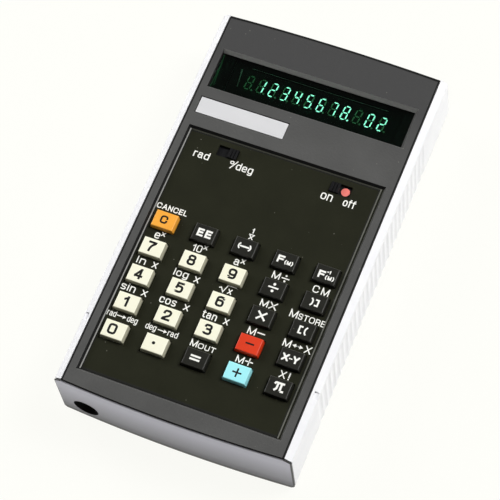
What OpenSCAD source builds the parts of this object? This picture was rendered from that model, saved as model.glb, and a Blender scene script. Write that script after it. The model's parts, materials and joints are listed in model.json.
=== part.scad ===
// Hand-held scientific calculator: a white fluted case, a dark cover with a sunk keyboard and a
// display window, a grey end panel with the charger socket, sprung keys and two slide switches.
// Millimetres. +X is to the right, +Y towards the display end, +Z up, z = 0 under the feet.

/* [Case] */
// Thickness of the side walls
wall = 2; // [1.6:0.1:2.4]
// Thickness of the floor
floor_t = 2; // [1.8:0.1:3]
// Width of the bevelled white rim on each side of the cover
rim_w = 2.5; // [2.2:0.1:4]
// Drop of the rim bevel below the top surface
rim_drop = 1.8; // [1:0.1:2.4]
// Chamfer along the lower edges of the case
keel = 1.5; // [0.5:0.1:1.8]
// How far the rear end leans out between the top surface and the underside
rear_lean = 2.2; // [0:0.1:4]
// Width of the ledges that carry the cover
ledge_w = 1.8; // [1.2:0.1:2.2]
// Thickness of the ledges at their tips
ledge_t = 1.2; // [0.8:0.1:2]
// Gap at the visible seams between two mouldings
seam = 0.3; // [0.15:0.05:0.5]
// Clearance between inner pieces that seat on each other
fit_gap = 0.1; // [0.05:0.05:0.2]
// Clearance round pieces that slide
slide_gap = 0.2; // [0.15:0.05:0.3]

// How far the front end bows out between its corners
front_bow = 1.45; // [0.5:0.05:2]
// How far the rear end bows out between its corners
rear_bow = 1; // [0.5:0.05:2]

/* [Side flutes] */
// Distance between two flutes
flute_pitch = 4; // [3.6:0.1:6]
// Width of one flute at the face
flute_w = 3.4; // [2:0.1:3.5]
// Depth of one flute
flute_depth = 0.35; // [0.2:0.05:0.6]
// Plain length of the side at the front
flute_front = 26; // [15:1:40]
// Plain length of the side at the rear
flute_rear = 23; // [15:1:40]
// Plain band between the rim bevel and the tops of the flutes
flute_band = 1.2; // [0.5:0.1:4]
// Middle of the pry notches behind the front face
notch_from_front = 25.3; // [15:0.1:40]
// Length of a pry notch along the rim
notch_l = 2.6; // [2:0.1:5]
// Depth of a pry notch below the top surface
notch_depth = 1.7; // [0.8:0.1:2.2]

/* [Cover] */
// Thickness of the cover
cover_t = 2; // [1.9:0.1:2.2]
// Width of the cover beside the keyboard recess
frame_side = 3.3; // [3:0.1:6]
// Strip between the end panel and the keyboard recess
front_strip = 5.3; // [4.5:0.1:10]
// Strip of cover between the keyboard recess and the nameplate
recess_to_name = 5.4; // [4.5:0.1:9]
// Strip of cover between the nameplate and the display window
name_to_window = 4.4; // [3.5:0.1:8]
// Strip of cover behind the display window
window_to_rear = 13.8; // [12.5:0.1:20]
// Slope of the recess walls: run for each millimetre of depth
recess_slope = 0.62; // [0.3:0.01:0.8]
// Radius of the edge where the cover turns down at the rear
rear_round = 0.8; // [0.3:0.1:1.5]
// Thickness of the cover's rear wall
rear_wall_t = 2; // [1.6:0.1:2.6]
// Width of the bare nameplate
name_w = 33.2; // [25:0.1:45]
// Depth of the nameplate from front to rear
name_l = 6.4; // [5:0.1:9]
// Thickness of the nameplate
name_t = 0.5; // [0.3:0.05:0.8]
// Depth of the pocket that takes the nameplate
name_depth = 0.6; // [0.4:0.05:0.9]
// Dark gap round the nameplate
name_gap = 0.35; // [0.15:0.05:0.6]

/* [End panel] */
// Thickness of the end panel where it covers the ends of case and cover
panel_t = 0.6; // [0.5:0.1:1.5]
// Radius of the panel's front edges
panel_round = 0.4; // [0.2:0.1:0.5]
// Thickness of the panel's plug inside the case
plug_t = 2; // [1.5:0.1:3]
// Depth of the ledge on the plug that carries the front of the cover
plug_ledge = 2.5; // [2:0.1:3]
// Diameter of the charger socket's hole
socket_d = 9.4; // [6:0.1:11]
// Clearance of the socket cup round the hole
socket_play = 0.3; // [0.2:0.05:0.6]
// Wall of the socket cup
socket_wall = 0.8; // [0.6:0.1:1.4]
// Depth of the socket cup
socket_l = 10; // [7:0.5:14]
// Back wall of the socket cup
socket_back = 1.6; // [1:0.1:2.5]
// Distance of the socket cup from the inside of the left wall
socket_inset = 1.9; // [0.5:0.1:6]
// Distance of the contact tips behind the end panel
contact_setback = 1; // [0.5:0.1:3]
// Width of the socket's blade contact
blade_w = 1; // [0.6:0.1:1.4]
// Height of the socket's blade contact
blade_h = 7; // [4:0.1:8]
// Diameter of the socket's pin contact
pin_d = 1.8; // [1:0.1:2.4]
// Distance of each contact from the socket's axis
contact_offset = 1.6; // [1.2:0.1:2.4]
// Length of the solder tags on the main board
tag_l = 3; // [2:0.5:4]
// Thickness of the socket's solder tags
tag_t = 0.6; // [0.4:0.1:0.8]

/* [Keyboard] */
// Distance between key columns
key_pitch_x = 15; // [13:0.1:18]
// Distance between key rows
key_pitch_y = 11; // [10.4:0.1:14]
// Left key column to the left side of the keyboard recess
key_left = 6.8; // [6.4:0.1:10]
// Right key column to the right side of the keyboard recess
key_right = 7.6; // [6.4:0.1:10]
// Front key row to the front of the keyboard recess
key_front = 17.2; // [8:0.1:25]
// Rear key row to the rear of the keyboard recess
key_rear = 38.5; // [30:0.1:50]
// Depth of the keyboard plate below the cover
plate_depth = 1.1; // [0.8:0.1:1.4]
// Thickness of the keyboard plate
plate_t = 0.9; // [0.8:0.1:1.4]
// Width of plate that is glued under the cover
plate_lap = 1; // [0.6:0.1:1.4]
// Diameter of the plate's screw bosses
stud_d = 3.6; // [3:0.1:3.8]
// Diameter of the small board screws
stud_screw_d = 1.6; // [1.2:0.1:2]

/* [Keys] */
// Width of a key cap at the plate
cap_w = 8.7; // [7:0.1:9.4]
// Length of a key cap at the plate, front to rear
cap_l = 6.5; // [5:0.1:8]
// Height of a key cap above the plate
cap_rise = 2; // [1.4:0.1:4]
// Draft of the key cap's left and right sides in degrees
cap_side_draft = 11; // [4:1:18]
// Draft of the key cap's front and rear in degrees
cap_end_draft = 3; // [1:1:12]
// Radius of the key cap's upper edges
cap_edge = 0.35; // [0.2:0.05:0.6]
// Radius of the key cap's upright corners
cap_corner = 0.6; // [0.3:0.1:1]
// Clearance of a key in its hole
cap_gap = 0.25; // [0.15:0.05:0.4]
// Width of the flange that keeps a key under the plate
flange_w = 0.6; // [0.4:0.05:0.7]
// Thickness of that flange
flange_t = 0.8; // [0.6:0.1:1.2]
// Diameter of the plunger under a key
stem_d = 3.6; // [2.4:0.1:4]
// Length of the plunger under the flange
stem_l = 1.6; // [1.2:0.1:3]
// How far a key goes down
key_travel = 1; // [0.6:0.1:1.1]
// Height of a rubber dome under a key
dome_h = 1.2; // [1.15:0.05:2]
// Wall of a rubber dome
dome_wall = 0.4; // [0.3:0.05:0.6]
// Width of a rubber dome at its foot
dome_d = 7; // [6:0.1:7.6]
// Thickness of the rubber mat
mat_t = 0.4; // [0.3:0.05:0.8]

/* [Slide switches] */
// Angle switch: distance of its slot to the left of the middle
angle_x = 20.2; // [16:0.1:24]
// Power switch: distance of its slot to the right of the middle
power_x = 22.3; // [16:0.1:24]
// Slots to the rear of the keyboard recess
switch_from_rear = 5.7; // [5.2:0.1:12]
// Length of a switch slot
slot_l = 7.8; // [6.5:0.1:10]
// Width of a switch slot
slot_w = 4.2; // [3:0.1:5]
// Corner radius of a switch slot
slot_round = 0.4; // [0.1:0.1:0.5]
// Length of a switch knob
knob_l = 3.3; // [3:0.1:5]
// Height of a switch knob above the plate
knob_rise = 0.7; // [0.4:0.1:2]
// Ribs across a switch knob
knob_ribs = 3; // [2:1:6]
// Depth of the grooves between those ribs
rib_depth = 0.5; // [0.2:0.1:0.8]
// Thickness of the shutter under a switch knob
shutter_t = 0.8; // [0.6:0.1:1.2]
// Width of shutter hidden beside the slot
shutter_lap = 0.9; // [0.5:0.1:1.5]
// Length of the tongue that works the switch
tongue_l = 3; // [2:0.1:4]
// Width of that tongue
tongue_w = 1.6; // [1:0.1:2]
// Height of that tongue
tongue_h = 1.5; // [1:0.1:1.8]
// Diameter of the red mark that shows when the power is on
mark_d = 3.1; // [2:0.1:3.6]
// Thickness of the red mark
mark_t = 0.3; // [0.2:0.05:0.5]

/* [Display] */
// Length of the display window, front to rear
window_l = 16.6; // [14:0.1:20]
// Depth of the filter below the cover
window_depth = 1.65; // [1.2:0.05:1.7]
// Thickness of the smoked filter
filter_t = 1.5; // [1:0.1:2.5]
// Width of filter that is glued under the cover
filter_lap = 1; // [0.6:0.1:1.4]
// Width of the display tube
tube_w = 66; // [60:0.5:70]
// Length of the display tube, front to rear
tube_l = 20; // [16:0.5:21]
// Height of the display tube
tube_h = 4.8; // [4:0.1:7]
// Thickness of the tube's glass
tube_wall = 1.1; // [0.8:0.1:1.5]
// Thickness of the plate that carries the digits
tube_base_t = 2.4; // [1.5:0.1:2.6]
// Air between the tube and the filter
tube_gap = 0.25; // [0.15:0.05:0.6]
// Number of wire leads on the tube
lead_count = 20; // [12:1:24]
// Distance between two leads
lead_pitch = 2.54; // [2:0.01:2.7]
// Width of a lead
lead_w = 0.5; // [0.3:0.05:0.8]

/* [Power] */
// Diameter of one cell
cell_d = 14.5; // [13:0.1:15.5]
// Length of one cell with its button
cell_l = 50.5; // [46:0.1:52]
// Number of cells side by side
cell_count = 4; // [2:1:4]
// Clearance round a cell
cell_gap = 0.2; // [0.1:0.05:0.4]
// Distance between two neighbouring cells
cell_space = 0.3; // [0.2:0.05:0.5]
// Diameter of a cell's button
button_d = 5.5; // [4:0.1:7]
// Height of a cell's button
button_h = 1; // [0.6:0.1:1.5]
// Room for the spring contacts at each end of the cells
contact_room = 2.6; // [2:0.1:4]
// Thickness of the spring contacts
contact_t = 0.4; // [0.3:0.05:0.6]
// Width of the spring contacts
contact_w = 10; // [7:0.1:12]
// Height of the spring contacts
contact_h = 7; // [5:0.1:10]
// Walls of the battery bay
bay_wall = 1.2; // [1:0.1:1.8]
// Roof of the battery bay
bay_roof = 0.8; // [0.6:0.1:1.4]
// Width of the ledges that carry the battery door
door_lip = 1; // [0.8:0.1:1.6]
// Grip grooves across the battery door
grip_count = 5; // [3:1:8]
// Distance between two grip grooves
grip_pitch = 2; // [1.6:0.1:3]
// Depth of a grip groove
grip_depth = 0.4; // [0.2:0.1:0.6]

/* [Boards and fasteners] */
// Thickness of the circuit boards
board_t = 1.5; // [1:0.1:1.6]
// Key board beyond the outer key columns
board_side = 3.9; // [3.8:0.1:4.2]
// Key board in front of the front key row
board_front = 7; // [5:0.5:9]
// Pins between the two boards
header_count = 14; // [8:1:18]
// Thickness of one header pin
header_pin = 0.64; // [0.5:0.02:0.8]
// Length of the long chip
long_chip_l = 36; // [30:1:40]
// Length of the short chip
short_chip_l = 26; // [20:1:30]
// Width of the chips' packages
chip_w = 13; // [9:0.5:15]
// Height of the chips' packages
chip_h = 3.6; // [3:0.1:4.5]
// Distance between two legs of a chip
leg_pitch = 2.54; // [2.4:0.01:2.6]
// Diameter of the capacitors
can_d = 6; // [4:0.5:7]
// Height of the capacitors
can_h = 7; // [5:0.5:8]
// Diameter of the converter coil's core
core_d = 14; // [11:0.5:16]
// Height of the converter coil
core_h = 7; // [5:0.5:8]
// Distance between two header pins
header_pitch = 2.54; // [2:0.01:2.7]
// Diameter of the feet
foot_d = 8; // [6:0.1:8.5]
// Thickness of the feet
foot_t = 1.6; // [1.2:0.1:2]
// How far the feet stand out of the underside
foot_drop = 0.8; // [0.4:0.1:1]
// Front feet to the front face
foot_from_front = 9.5; // [7:0.5:20]
// Diameter of the case screws' shanks
screw_d = 2.6; // [2:0.1:3]
// Diameter of the case screws' heads
screw_head_d = 5; // [4:0.1:5.4]
// Height of the case screws' heads
screw_head_h = 2; // [1.5:0.1:2.5]
// Grip of a case screw in the cover
screw_grip = 7; // [5:0.5:8]
// Wall round a screw
post_wall = 1.2; // [1:0.1:1.4]
// Height of the case's screw posts above the floor
post_h = 12; // [9:0.5:14]

/* [Hidden] */
$fn = 64;
eps = 0.01;
far = 40;
columns = 5;
rows = 5;

// Levels, from the table upwards
under_z = foot_drop;
floor_z = under_z + floor_t;
cell_z = floor_z + cell_gap + cell_d / 2;
roof_z = floor_z + cell_d + 2 * cell_gap;
tube_z = roof_z + bay_roof + fit_gap;
filter_z = tube_z + tube_h + tube_gap;
top_z = filter_z + filter_t + window_depth;
case_h = top_z - under_z;
cover_z = top_z - cover_t;
plate_top = top_z - plate_depth;
plate_z = plate_top - plate_t;
flange_top = plate_z - fit_gap;
stem_z = flange_top - flange_t - stem_l;
dome_top = stem_z - fit_gap;
mat_z = dome_top - dome_h - mat_t;
key_board_z = mat_z - board_t;
tray_z = floor_z + slide_gap;

// Widths
recess_w = key_left + (columns - 1) * key_pitch_x + key_right;
cover_hw = recess_w / 2 + frame_side - seam;
case_hw = recess_w / 2 + frame_side + rim_w;
inner_hw = case_hw - wall;
ledge_tip = case_hw - rim_w - ledge_w;
ledge_foot = cover_z - ledge_t - (inner_hw - ledge_tip);

// Lengths, from the front face to the rear
recess_l = key_front + (rows - 1) * key_pitch_y + key_rear;
case_l = panel_t + front_strip + recess_l + recess_to_name + name_l + name_to_window
    + window_l + window_to_rear;
front_y = -(case_l + rear_lean + rear_bow - front_bow) / 2;
panel_y = front_y + panel_t;
plug_y = panel_y + plug_t;
recess_y0 = panel_y + front_strip;
recess_y1 = recess_y0 + recess_l;
name_y = recess_y1 + recess_to_name;
window_y0 = name_y + name_l + name_to_window;
window_y1 = window_y0 + window_l;
rear_y = front_y + case_l;
window_y = (window_y0 + window_y1) / 2;
tube_y0 = window_y - tube_l / 2;
switch_y = recess_y1 - switch_from_rear;

// Bowed ends: arcs through the corners, round upright axes
front_r = bow_radius(front_bow);
rear_r = bow_radius(rear_bow);
front_axis = front_y - front_bow + front_r;
rear_axis = rear_y + rear_bow - rear_r;
bow_fn = 1440;

// Battery bay
cell_pitch = cell_d + cell_space;
cells_hw = (cell_count - 1) * cell_pitch / 2 + cell_d / 2;
door_hw = cells_hw + cell_gap;
bay_hw = door_hw + door_lip;
bay_y1 = rear_at(tube_z) - rear_wall_t - slide_gap - bay_wall;
bay_y0 = bay_y1 - cell_l - 2 * contact_room;
door_lip_z = under_z + floor_t / 2;

// Screw posts and feet
post_x = (bay_hw + bay_wall + inner_hw) / 2;
post_r = screw_head_d / 2 + slide_gap + post_wall;
boss_r = screw_d / 2 + post_wall;
post_top = floor_z + post_h;
screw_seat = post_top - 2 * post_wall;
post_y = [(recess_y1 + window_y0) / 2, (window_y1 + rear_y - rear_wall_t) / 2];
foot_y = [front_y + foot_from_front, (post_y[0] + post_y[1]) / 2];

// Charger socket
socket_r = socket_d / 2;
cup_r = socket_r + socket_play + socket_wall;
socket_x = -inner_hw + socket_inset + cup_r;
socket_z = floor_z + slide_gap + cup_r;
main_top = socket_z;
main_board_z = main_top - board_t;

// Slide switches
knob_gap = slide_gap;
knob_w = slot_w - 2 * knob_gap;
switch_travel = slot_l - knob_l - 2 * knob_gap;
shutter_l = slot_l + switch_travel + 2 * shutter_lap;
shutter_z = flange_top - shutter_t;
switch_body_z = key_board_z + board_t;
switch_body_h = shutter_z - slide_gap - switch_body_z;

// Boards
keys_x = column_x((columns - 1) / 2);
key_board_hw = (columns - 1) * key_pitch_x / 2 + board_side;
key_board_y0 = row_y(rows - 1) - board_front;
key_board_y1 = post_y[0] - boss_r - 1;
main_board_hw = inner_hw - 6;
main_board_y0 = plug_y + socket_l + 1;
main_board_y1 = bay_y0 - bay_wall - 2;
standoff_d = 5;
peg_d = 2;
contact_tag_w = 3;
standoff_inset = 6;
stud_x = (columns - 2) * key_pitch_x / 2;
stud_y = [row_y(rows - 1) + key_pitch_y / 2, row_y(0) - key_pitch_y / 2,
    (row_y(0) + cap_l / 2 + switch_y - slot_w / 2) / 2];

// Each key: node name, column from the left, row from the rear, colour of the cap
KEYS = [
    ["key_clear", 0, 0, "orange"],
    ["key_exponent", 1, 0, "dimgray"],
    ["key_sign", 2, 0, "dimgray"],
    ["key_memory", 3, 0, "dimgray"],
    ["key_inverse", 4, 0, "dimgray"],
    ["key_7", 0, 1, "ivory"],
    ["key_8", 1, 1, "ivory"],
    ["key_9", 2, 1, "ivory"],
    ["key_divide", 3, 1, "dimgray"],
    ["key_close", 4, 1, "dimgray"],
    ["key_4", 0, 2, "ivory"],
    ["key_5", 1, 2, "ivory"],
    ["key_6", 2, 2, "ivory"],
    ["key_multiply", 3, 2, "dimgray"],
    ["key_open", 4, 2, "dimgray"],
    ["key_1", 0, 3, "ivory"],
    ["key_2", 1, 3, "ivory"],
    ["key_3", 2, 3, "ivory"],
    ["key_subtract", 3, 3, "orangered"],
    ["key_exchange", 4, 3, "dimgray"],
    ["key_0", 0, 4, "ivory"],
    ["key_point", 1, 4, "ivory"],
    ["key_equals", 2, 4, "dimgray"],
    ["key_add", 3, 4, "paleturquoise"],
    ["key_pi", 4, 4, "dimgray"]
];
FIXED = ["lower_case", "top_cover", "front_panel", "keyboard_plate", "nameplate",
    "display_filter", "display_glass", "display_base", "display_leads",
    "angle_slider", "power_slider", "power_mark", "angle_switch", "power_switch",
    "key_mat", "key_board", "board_screws", "main_board", "header_pins",
    "logic_chips", "capacitors", "converter_coil",
    "charger_socket", "socket_contacts", "battery_cells", "battery_contacts",
    "battery_door", "case_screws", "rubber_feet"];

// Radius of an end that bows out this far over the width of the case
function bow_radius(bow) = (case_hw * case_hw + bow * bow) / (2 * bow);
// Place of the leaning rear face's corners at height z
function rear_at(z) = rear_y + rear_lean * (top_z - z) / case_h;
function column_x(column) = -recess_w / 2 + key_left + column * key_pitch_x;
function row_y(row) = recess_y1 - key_rear - row * key_pitch_y;
function cell_x(cell) = (cell - (cell_count - 1) / 2) * cell_pitch;
// Points of a quarter turn from the angle start, round the centre [x, y]
function quarter(x, y, r, start, steps = 6) =
    [for (i = [0 : steps]) [x + r * cos(start + i * 90 / steps), y + r * sin(start + i * 90 / steps)]];

// Extrudes an X-Z outline along Y
module along_y(y0, y1) {
    translate([0, y1, 0]) rotate([90, 0, 0]) linear_extrude(y1 - y0) children();
}

// Extrudes a Y-Z outline along X
module along_x(x0, x1) {
    translate([x0, 0, 0]) rotate([90, 0, 90]) linear_extrude(x1 - x0) children();
}

// Box from its low corner to its high corner
module block(low, high) {
    translate(low) cube(high - low);
}

// Copies the children on the left and on the right
module both_sides() {
    for (side = [0, 1]) mirror([side, 0, 0]) children();
}

// Rectangular pocket under height z whose walls slope in towards its floor; the left wall has its own run
module sloped_pocket(hw, y0, y1, z, depth, left_run) {
    run = recess_slope * depth;
    intersection() {
        along_y(y0 - eps, y1 + eps)
            polygon([[-hw + left_run, z - depth], [hw - run, z - depth], [hw, z], [-hw, z]]);
        along_x(-hw - eps, hw + eps)
            polygon([[y0 + run, z - depth], [y1 - run, z - depth], [y1, z], [y0, z]]);
    }
}

// Everything behind the bowed front face, or behind a face set in from it
module behind_front(inset) {
    translate([0, front_axis, under_z - 1]) cylinder(r = front_r - inset, h = case_h + 2, $fn = bow_fn);
}

// Everything in front of the leaning, bowed rear face, with its upper edge rounded
module before_rear(round) {
    out = rear_r - rear_y;
    foot = [rear_at(under_z - 1) + out, under_z - 1];
    head = round > 0 ? quarter(rear_r - round, top_z - round, round, 0)
        : [[rear_at(top_z + 1) + out, top_z + 1]];
    translate([0, rear_axis, 0]) rotate_extrude($fn = bow_fn)
        polygon(concat([[0, foot[1]], foot], head, [[0, head[len(head) - 1][1]]]));
}

// Outside of the case, seen from the front
module case_outline() {
    polygon([[-case_hw + keel, under_z], [case_hw - keel, under_z], [case_hw, under_z + keel],
        [case_hw, top_z - rim_drop], [case_hw - rim_w, top_z], [-case_hw + rim_w, top_z],
        [-case_hw, top_z - rim_drop], [-case_hw, under_z + keel]]);
}

// Hollow of the case, seen from the front, with the ledges that carry the cover
module case_hollow() {
    lip = case_hw - rim_w;
    polygon([[-inner_hw, floor_z], [inner_hw, floor_z], [inner_hw, ledge_foot],
        [ledge_tip, cover_z - ledge_t], [ledge_tip, cover_z], [lip, cover_z], [lip, top_z + eps],
        [-lip, top_z + eps], [-lip, cover_z], [-ledge_tip, cover_z], [-ledge_tip, cover_z - ledge_t],
        [-inner_hw, ledge_foot]]);
}

// One upright flute with a rounded top, cut into the right side
module flute(y) {
    r = (flute_w * flute_w / 4 + flute_depth * flute_depth) / (2 * flute_depth);
    top = top_z - rim_drop - flute_band - flute_w / 2;
    run_out = 1;
    translate([case_hw - flute_depth + r, y, 0]) rotate_extrude()
        polygon(concat([[0, under_z - run_out], [r, under_z - run_out]], quarter(0, top, r, 0, 12)));
}

// Post that takes one case screw from below
module screw_post(y) {
    translate([post_x, y, under_z]) difference() {
        cylinder(r = post_r, h = post_top - under_z);
        translate([0, 0, -eps]) cylinder(d = screw_head_d + 2 * slide_gap, h = screw_seat - under_z);
        cylinder(d = screw_d + 2 * slide_gap, h = post_top);
    }
}

// Corners of the main board that stand on posts
module at_main_board_posts() {
    for (y = [main_board_y0 + standoff_inset, main_board_y1 - standoff_inset])
        both_sides() translate([main_board_hw - standoff_inset, y, 0]) children();
}

module lower_case() {
    flute_count = floor((case_l - flute_front - flute_rear) / flute_pitch) + 1;
    rear_room = rear_wall_t + slide_gap;
    notch_y = front_y + notch_from_front;
    color("whitesmoke") difference() {
        union() {
            intersection() {
                along_y(front_y - far, rear_y + far) difference() {
                    case_outline();
                    case_hollow();
                }
                behind_front(panel_t + seam);
                before_rear(0);
            }
            // Battery bay
            difference() {
                block([-bay_hw - bay_wall, bay_y0 - bay_wall, floor_z - eps],
                    [bay_hw + bay_wall, bay_y1 + bay_wall, roof_z + bay_roof]);
                block([-bay_hw, bay_y0, under_z], [bay_hw, bay_y1, roof_z]);
            }
            for (y = post_y) both_sides() screw_post(y);
            // Posts and pegs for the main board
            at_main_board_posts() {
                translate([0, 0, floor_z - eps]) cylinder(d = standoff_d, h = main_board_z - floor_z + eps);
                translate([0, 0, floor_z]) cylinder(d = peg_d, h = main_top - floor_z);
            }
        }
        // Opening and runners of the battery door
        block([-door_hw, bay_y0, under_z - 1], [door_hw, rear_y + far, door_lip_z + eps]);
        block([-bay_hw, bay_y0, door_lip_z], [bay_hw, rear_y + far, tray_z]);
        contact_tags(fit_gap);
        // Room for the cover's rear wall between the sides
        along_x(-case_hw + rim_w, case_hw - rim_w)
            polygon([[rear_at(tray_z) - rear_room, tray_z], [rear_at(tray_z) + far, tray_z],
                [rear_at(top_z + 1) + far, top_z + 1], [rear_at(top_z + 1) - rear_room, top_z + 1]]);
        for (y = post_y) both_sides() translate([post_x, y, under_z - 1]) {
            cylinder(d = screw_head_d + 2 * slide_gap, h = screw_seat - under_z + 1);
            cylinder(d = screw_d + 2 * slide_gap, h = post_top - under_z + 2);
        }
        for (y = foot_y) both_sides() translate([post_x, y, under_z - 1])
            cylinder(d = foot_d + 2 * fit_gap, h = 1 + foot_t - foot_drop);
        both_sides() block([case_hw - 0.7 * rim_w, notch_y - notch_l / 2, top_z - notch_depth],
            [case_hw + 1, notch_y + notch_l / 2, top_z + 1]);
        for (i = [0 : flute_count - 1]) both_sides() flute(front_y + flute_front + i * flute_pitch);
    }
}

module top_cover() {
    run = recess_slope * plate_depth;
    window_run = recess_slope * window_depth;
    lap = plate_lap + fit_gap - run;
    filter_margin = filter_lap + fit_gap - window_run;
    color("dimgray") difference() {
        union() {
            intersection() {
                along_x(-cover_hw, cover_hw) polygon([[rear_y + far, tray_z], [rear_y + far, top_z],
                    [front_y - far, top_z], [front_y - far, cover_z],
                    [rear_at(cover_z) - rear_wall_t, cover_z], [rear_at(tray_z) - rear_wall_t, tray_z]]);
                behind_front(panel_t + seam);
                before_rear(rear_round);
            }
            // Bosses that stand on the case's screw posts
            for (y = post_y) both_sides() intersection() {
                translate([post_x, y, post_top + fit_gap]) cylinder(r = boss_r, h = cover_z - post_top);
                block([0, y - boss_r, post_top], [ledge_tip - slide_gap, y + boss_r, top_z]);
            }
        }
        // Keyboard recess and the step that takes the plate from below
        sloped_pocket(recess_w / 2, recess_y0, recess_y1, top_z + eps, plate_depth + 2 * eps, run);
        block([-recess_w / 2 - lap, recess_y0 - lap, cover_z - 1],
            [recess_w / 2 + lap, recess_y1 + lap, plate_top]);
        // Display window and the step that takes the filter from below
        sloped_pocket(recess_w / 2, window_y0, window_y1, top_z + eps, window_depth + 2 * eps, 0);
        block([-recess_w / 2 - filter_lap - fit_gap, window_y0 - filter_margin, cover_z - 1],
            [recess_w / 2 + filter_margin, window_y1 + filter_margin, top_z - window_depth]);
        // Pocket of the nameplate
        block([-recess_w / 2 - name_gap, name_y - name_gap, top_z - name_depth],
            [-recess_w / 2 + name_w + name_gap, name_y + name_l + name_gap, top_z + 1]);
        for (y = post_y) both_sides() translate([post_x, y, post_top])
            cylinder(d = screw_d, h = screw_grip + 1);
    }
}

module front_panel() {
    r = panel_round;
    plug_hw = inner_hw - fit_gap;
    bridge_hw = ledge_tip - 2 * fit_gap;
    color("darkgray") difference() {
        union() {
            // Plate with rounded front edges
            intersection() {
                along_y(front_y - front_bow - 1, panel_y + seam) case_outline();
                translate([0, front_axis, 0]) rotate_extrude($fn = bow_fn) polygon(concat(
                    [[front_r - panel_t, under_z]], quarter(front_r - r, under_z + r, r, 270),
                    quarter(front_r - r, top_z - r, r, 0), [[front_r - panel_t, top_z]]));
                translate([0, 0, under_z]) linear_extrude(case_h) polygon(concat(
                    [[case_hw, panel_y + seam]], [[-case_hw, panel_y + seam]],
                    quarter(-case_hw + r, front_y + r, r, 180),
                    [[0, front_y - 3 * front_bow]],
                    quarter(case_hw - r, front_y + r, r, 270)));
            }
            // Plug that fills the end of the case, and the ledge under the front of the cover
            intersection() {
                union() {
                    block([-plug_hw, front_y - far, floor_z + fit_gap],
                        [plug_hw, plug_y, ledge_foot - fit_gap]);
                    block([-bridge_hw, front_y - far, ledge_foot - 1],
                        [bridge_hw, panel_y + plug_ledge, cover_z]);
                }
                behind_front(panel_t - eps);
            }
        }
        translate([socket_x, front_y - front_bow - 1, socket_z]) rotate([-90, 0, 0])
            cylinder(r = socket_r, h = front_bow + panel_t + plug_t + 2);
    }
}

// Slot of one switch with rounded corners, seen from above
module slot_outline(x) {
    in_x = slot_l / 2 - slot_round;
    in_y = slot_w / 2 - slot_round;
    translate([x, switch_y]) polygon(concat(
        quarter(in_x, in_y, slot_round, 0), quarter(-in_x, in_y, slot_round, 90),
        quarter(-in_x, -in_y, slot_round, 180), quarter(in_x, -in_y, slot_round, 270)));
}

// Bosses of the keyboard plate
module at_studs() {
    for (y = stud_y, side = [-1, 1]) translate([keys_x + side * stud_x, y, 0]) children();
}

module keyboard_plate() {
    margin = plate_lap - recess_slope * plate_depth;
    thread_l = plate_z - key_board_z - board_t;
    color("#2b2b26") difference() {
        union() {
            block([-recess_w / 2 - margin, recess_y0 - margin, plate_z],
                [recess_w / 2 + margin, recess_y1 + margin, plate_top]);
            at_studs() translate([0, 0, key_board_z + board_t])
                cylinder(d = stud_d, h = thread_l + eps);
        }
        for (key = KEYS) translate([column_x(key[1]), row_y(key[2]), plate_z - 1])
            linear_extrude(plate_t + 2)
                square([cap_w + 2 * cap_gap, cap_l + 2 * cap_gap], center = true);
        translate([0, 0, plate_z - 1]) linear_extrude(plate_t + 2) {
            slot_outline(-angle_x);
            slot_outline(power_x);
        }
        at_studs() translate([0, 0, key_board_z]) cylinder(d = stud_screw_d, h = board_t + thread_l - 0.5);
    }
}

module nameplate() {
    color("gainsboro") block([-recess_w / 2, name_y, top_z - name_depth],
        [-recess_w / 2 + name_w, name_y + name_l, top_z - name_depth + name_t]);
}

module display_filter() {
    margin = filter_lap - recess_slope * window_depth;
    color("#0c2a1c") block([-recess_w / 2 - filter_lap, window_y0 - margin, filter_z],
        [recess_w / 2 + margin, window_y1 + margin, filter_z + filter_t]);
}

module display_glass() {
    color("#7fa59a") difference() {
        block([-tube_w / 2, tube_y0, tube_z + tube_base_t],
            [tube_w / 2, tube_y0 + tube_l, tube_z + tube_h]);
        block([-tube_w / 2 + tube_wall, tube_y0 + tube_wall, tube_z],
            [tube_w / 2 - tube_wall, tube_y0 + tube_l - tube_wall, tube_z + tube_h - tube_wall]);
    }
}

module display_base() {
    color("#20302a") block([-tube_w / 2, tube_y0, tube_z],
        [tube_w / 2, tube_y0 + tube_l, tube_z + tube_base_t]);
}

module display_leads() {
    lead_z = key_board_z + board_t;
    landing = 3;
    color("silver") for (i = [0 : lead_count - 1])
        translate([(i - (lead_count - 1) / 2) * lead_pitch - lead_w / 2, key_board_y1 - landing, lead_z])
            cube([lead_w, tube_y0 - key_board_y1 + landing, lead_w / 2]);
}

// Knob in its slot, with the shutter that stays under the plate
module slider(knob_x) {
    groove = knob_l / (2 * knob_ribs);
    knob_top = plate_top + knob_rise;
    difference() {
        union() {
            block([knob_x - shutter_l / 2, switch_y - slot_w / 2 - shutter_lap, shutter_z],
                [knob_x + shutter_l / 2, switch_y + slot_w / 2 + shutter_lap, flange_top]);
            block([knob_x - knob_l / 2, switch_y - knob_w / 2, shutter_z], [knob_x + knob_l / 2,
                switch_y + knob_w / 2, knob_top]);
            block([knob_x - tongue_l / 2, switch_y - tongue_w / 2, shutter_z - slide_gap - tongue_h],
                [knob_x + tongue_l / 2, switch_y + tongue_w / 2, shutter_z + eps]);
        }
        for (i = [1 : knob_ribs - 1])
            translate([knob_x - knob_l / 2 + i * knob_l / knob_ribs - groove / 2, switch_y - slot_w,
                knob_top - rib_depth]) cube([groove, 2 * slot_w, rib_depth + 1]);
        children();
    }
}

// Knob places: the angle switch rests at its right end, the power switch at its left end
angle_knob_x = -angle_x + switch_travel / 2;
power_knob_x = power_x - switch_travel / 2;
mark_x = power_x + (slot_l - slot_w) / 2;

module angle_slider() {
    color("#1a1a1c") slider(angle_knob_x);
}

module power_slider() {
    color("#1a1a1c") slider(power_knob_x)
        translate([mark_x, switch_y, flange_top - mark_t]) cylinder(d = mark_d + fit_gap, h = mark_t + 1);
}

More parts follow.
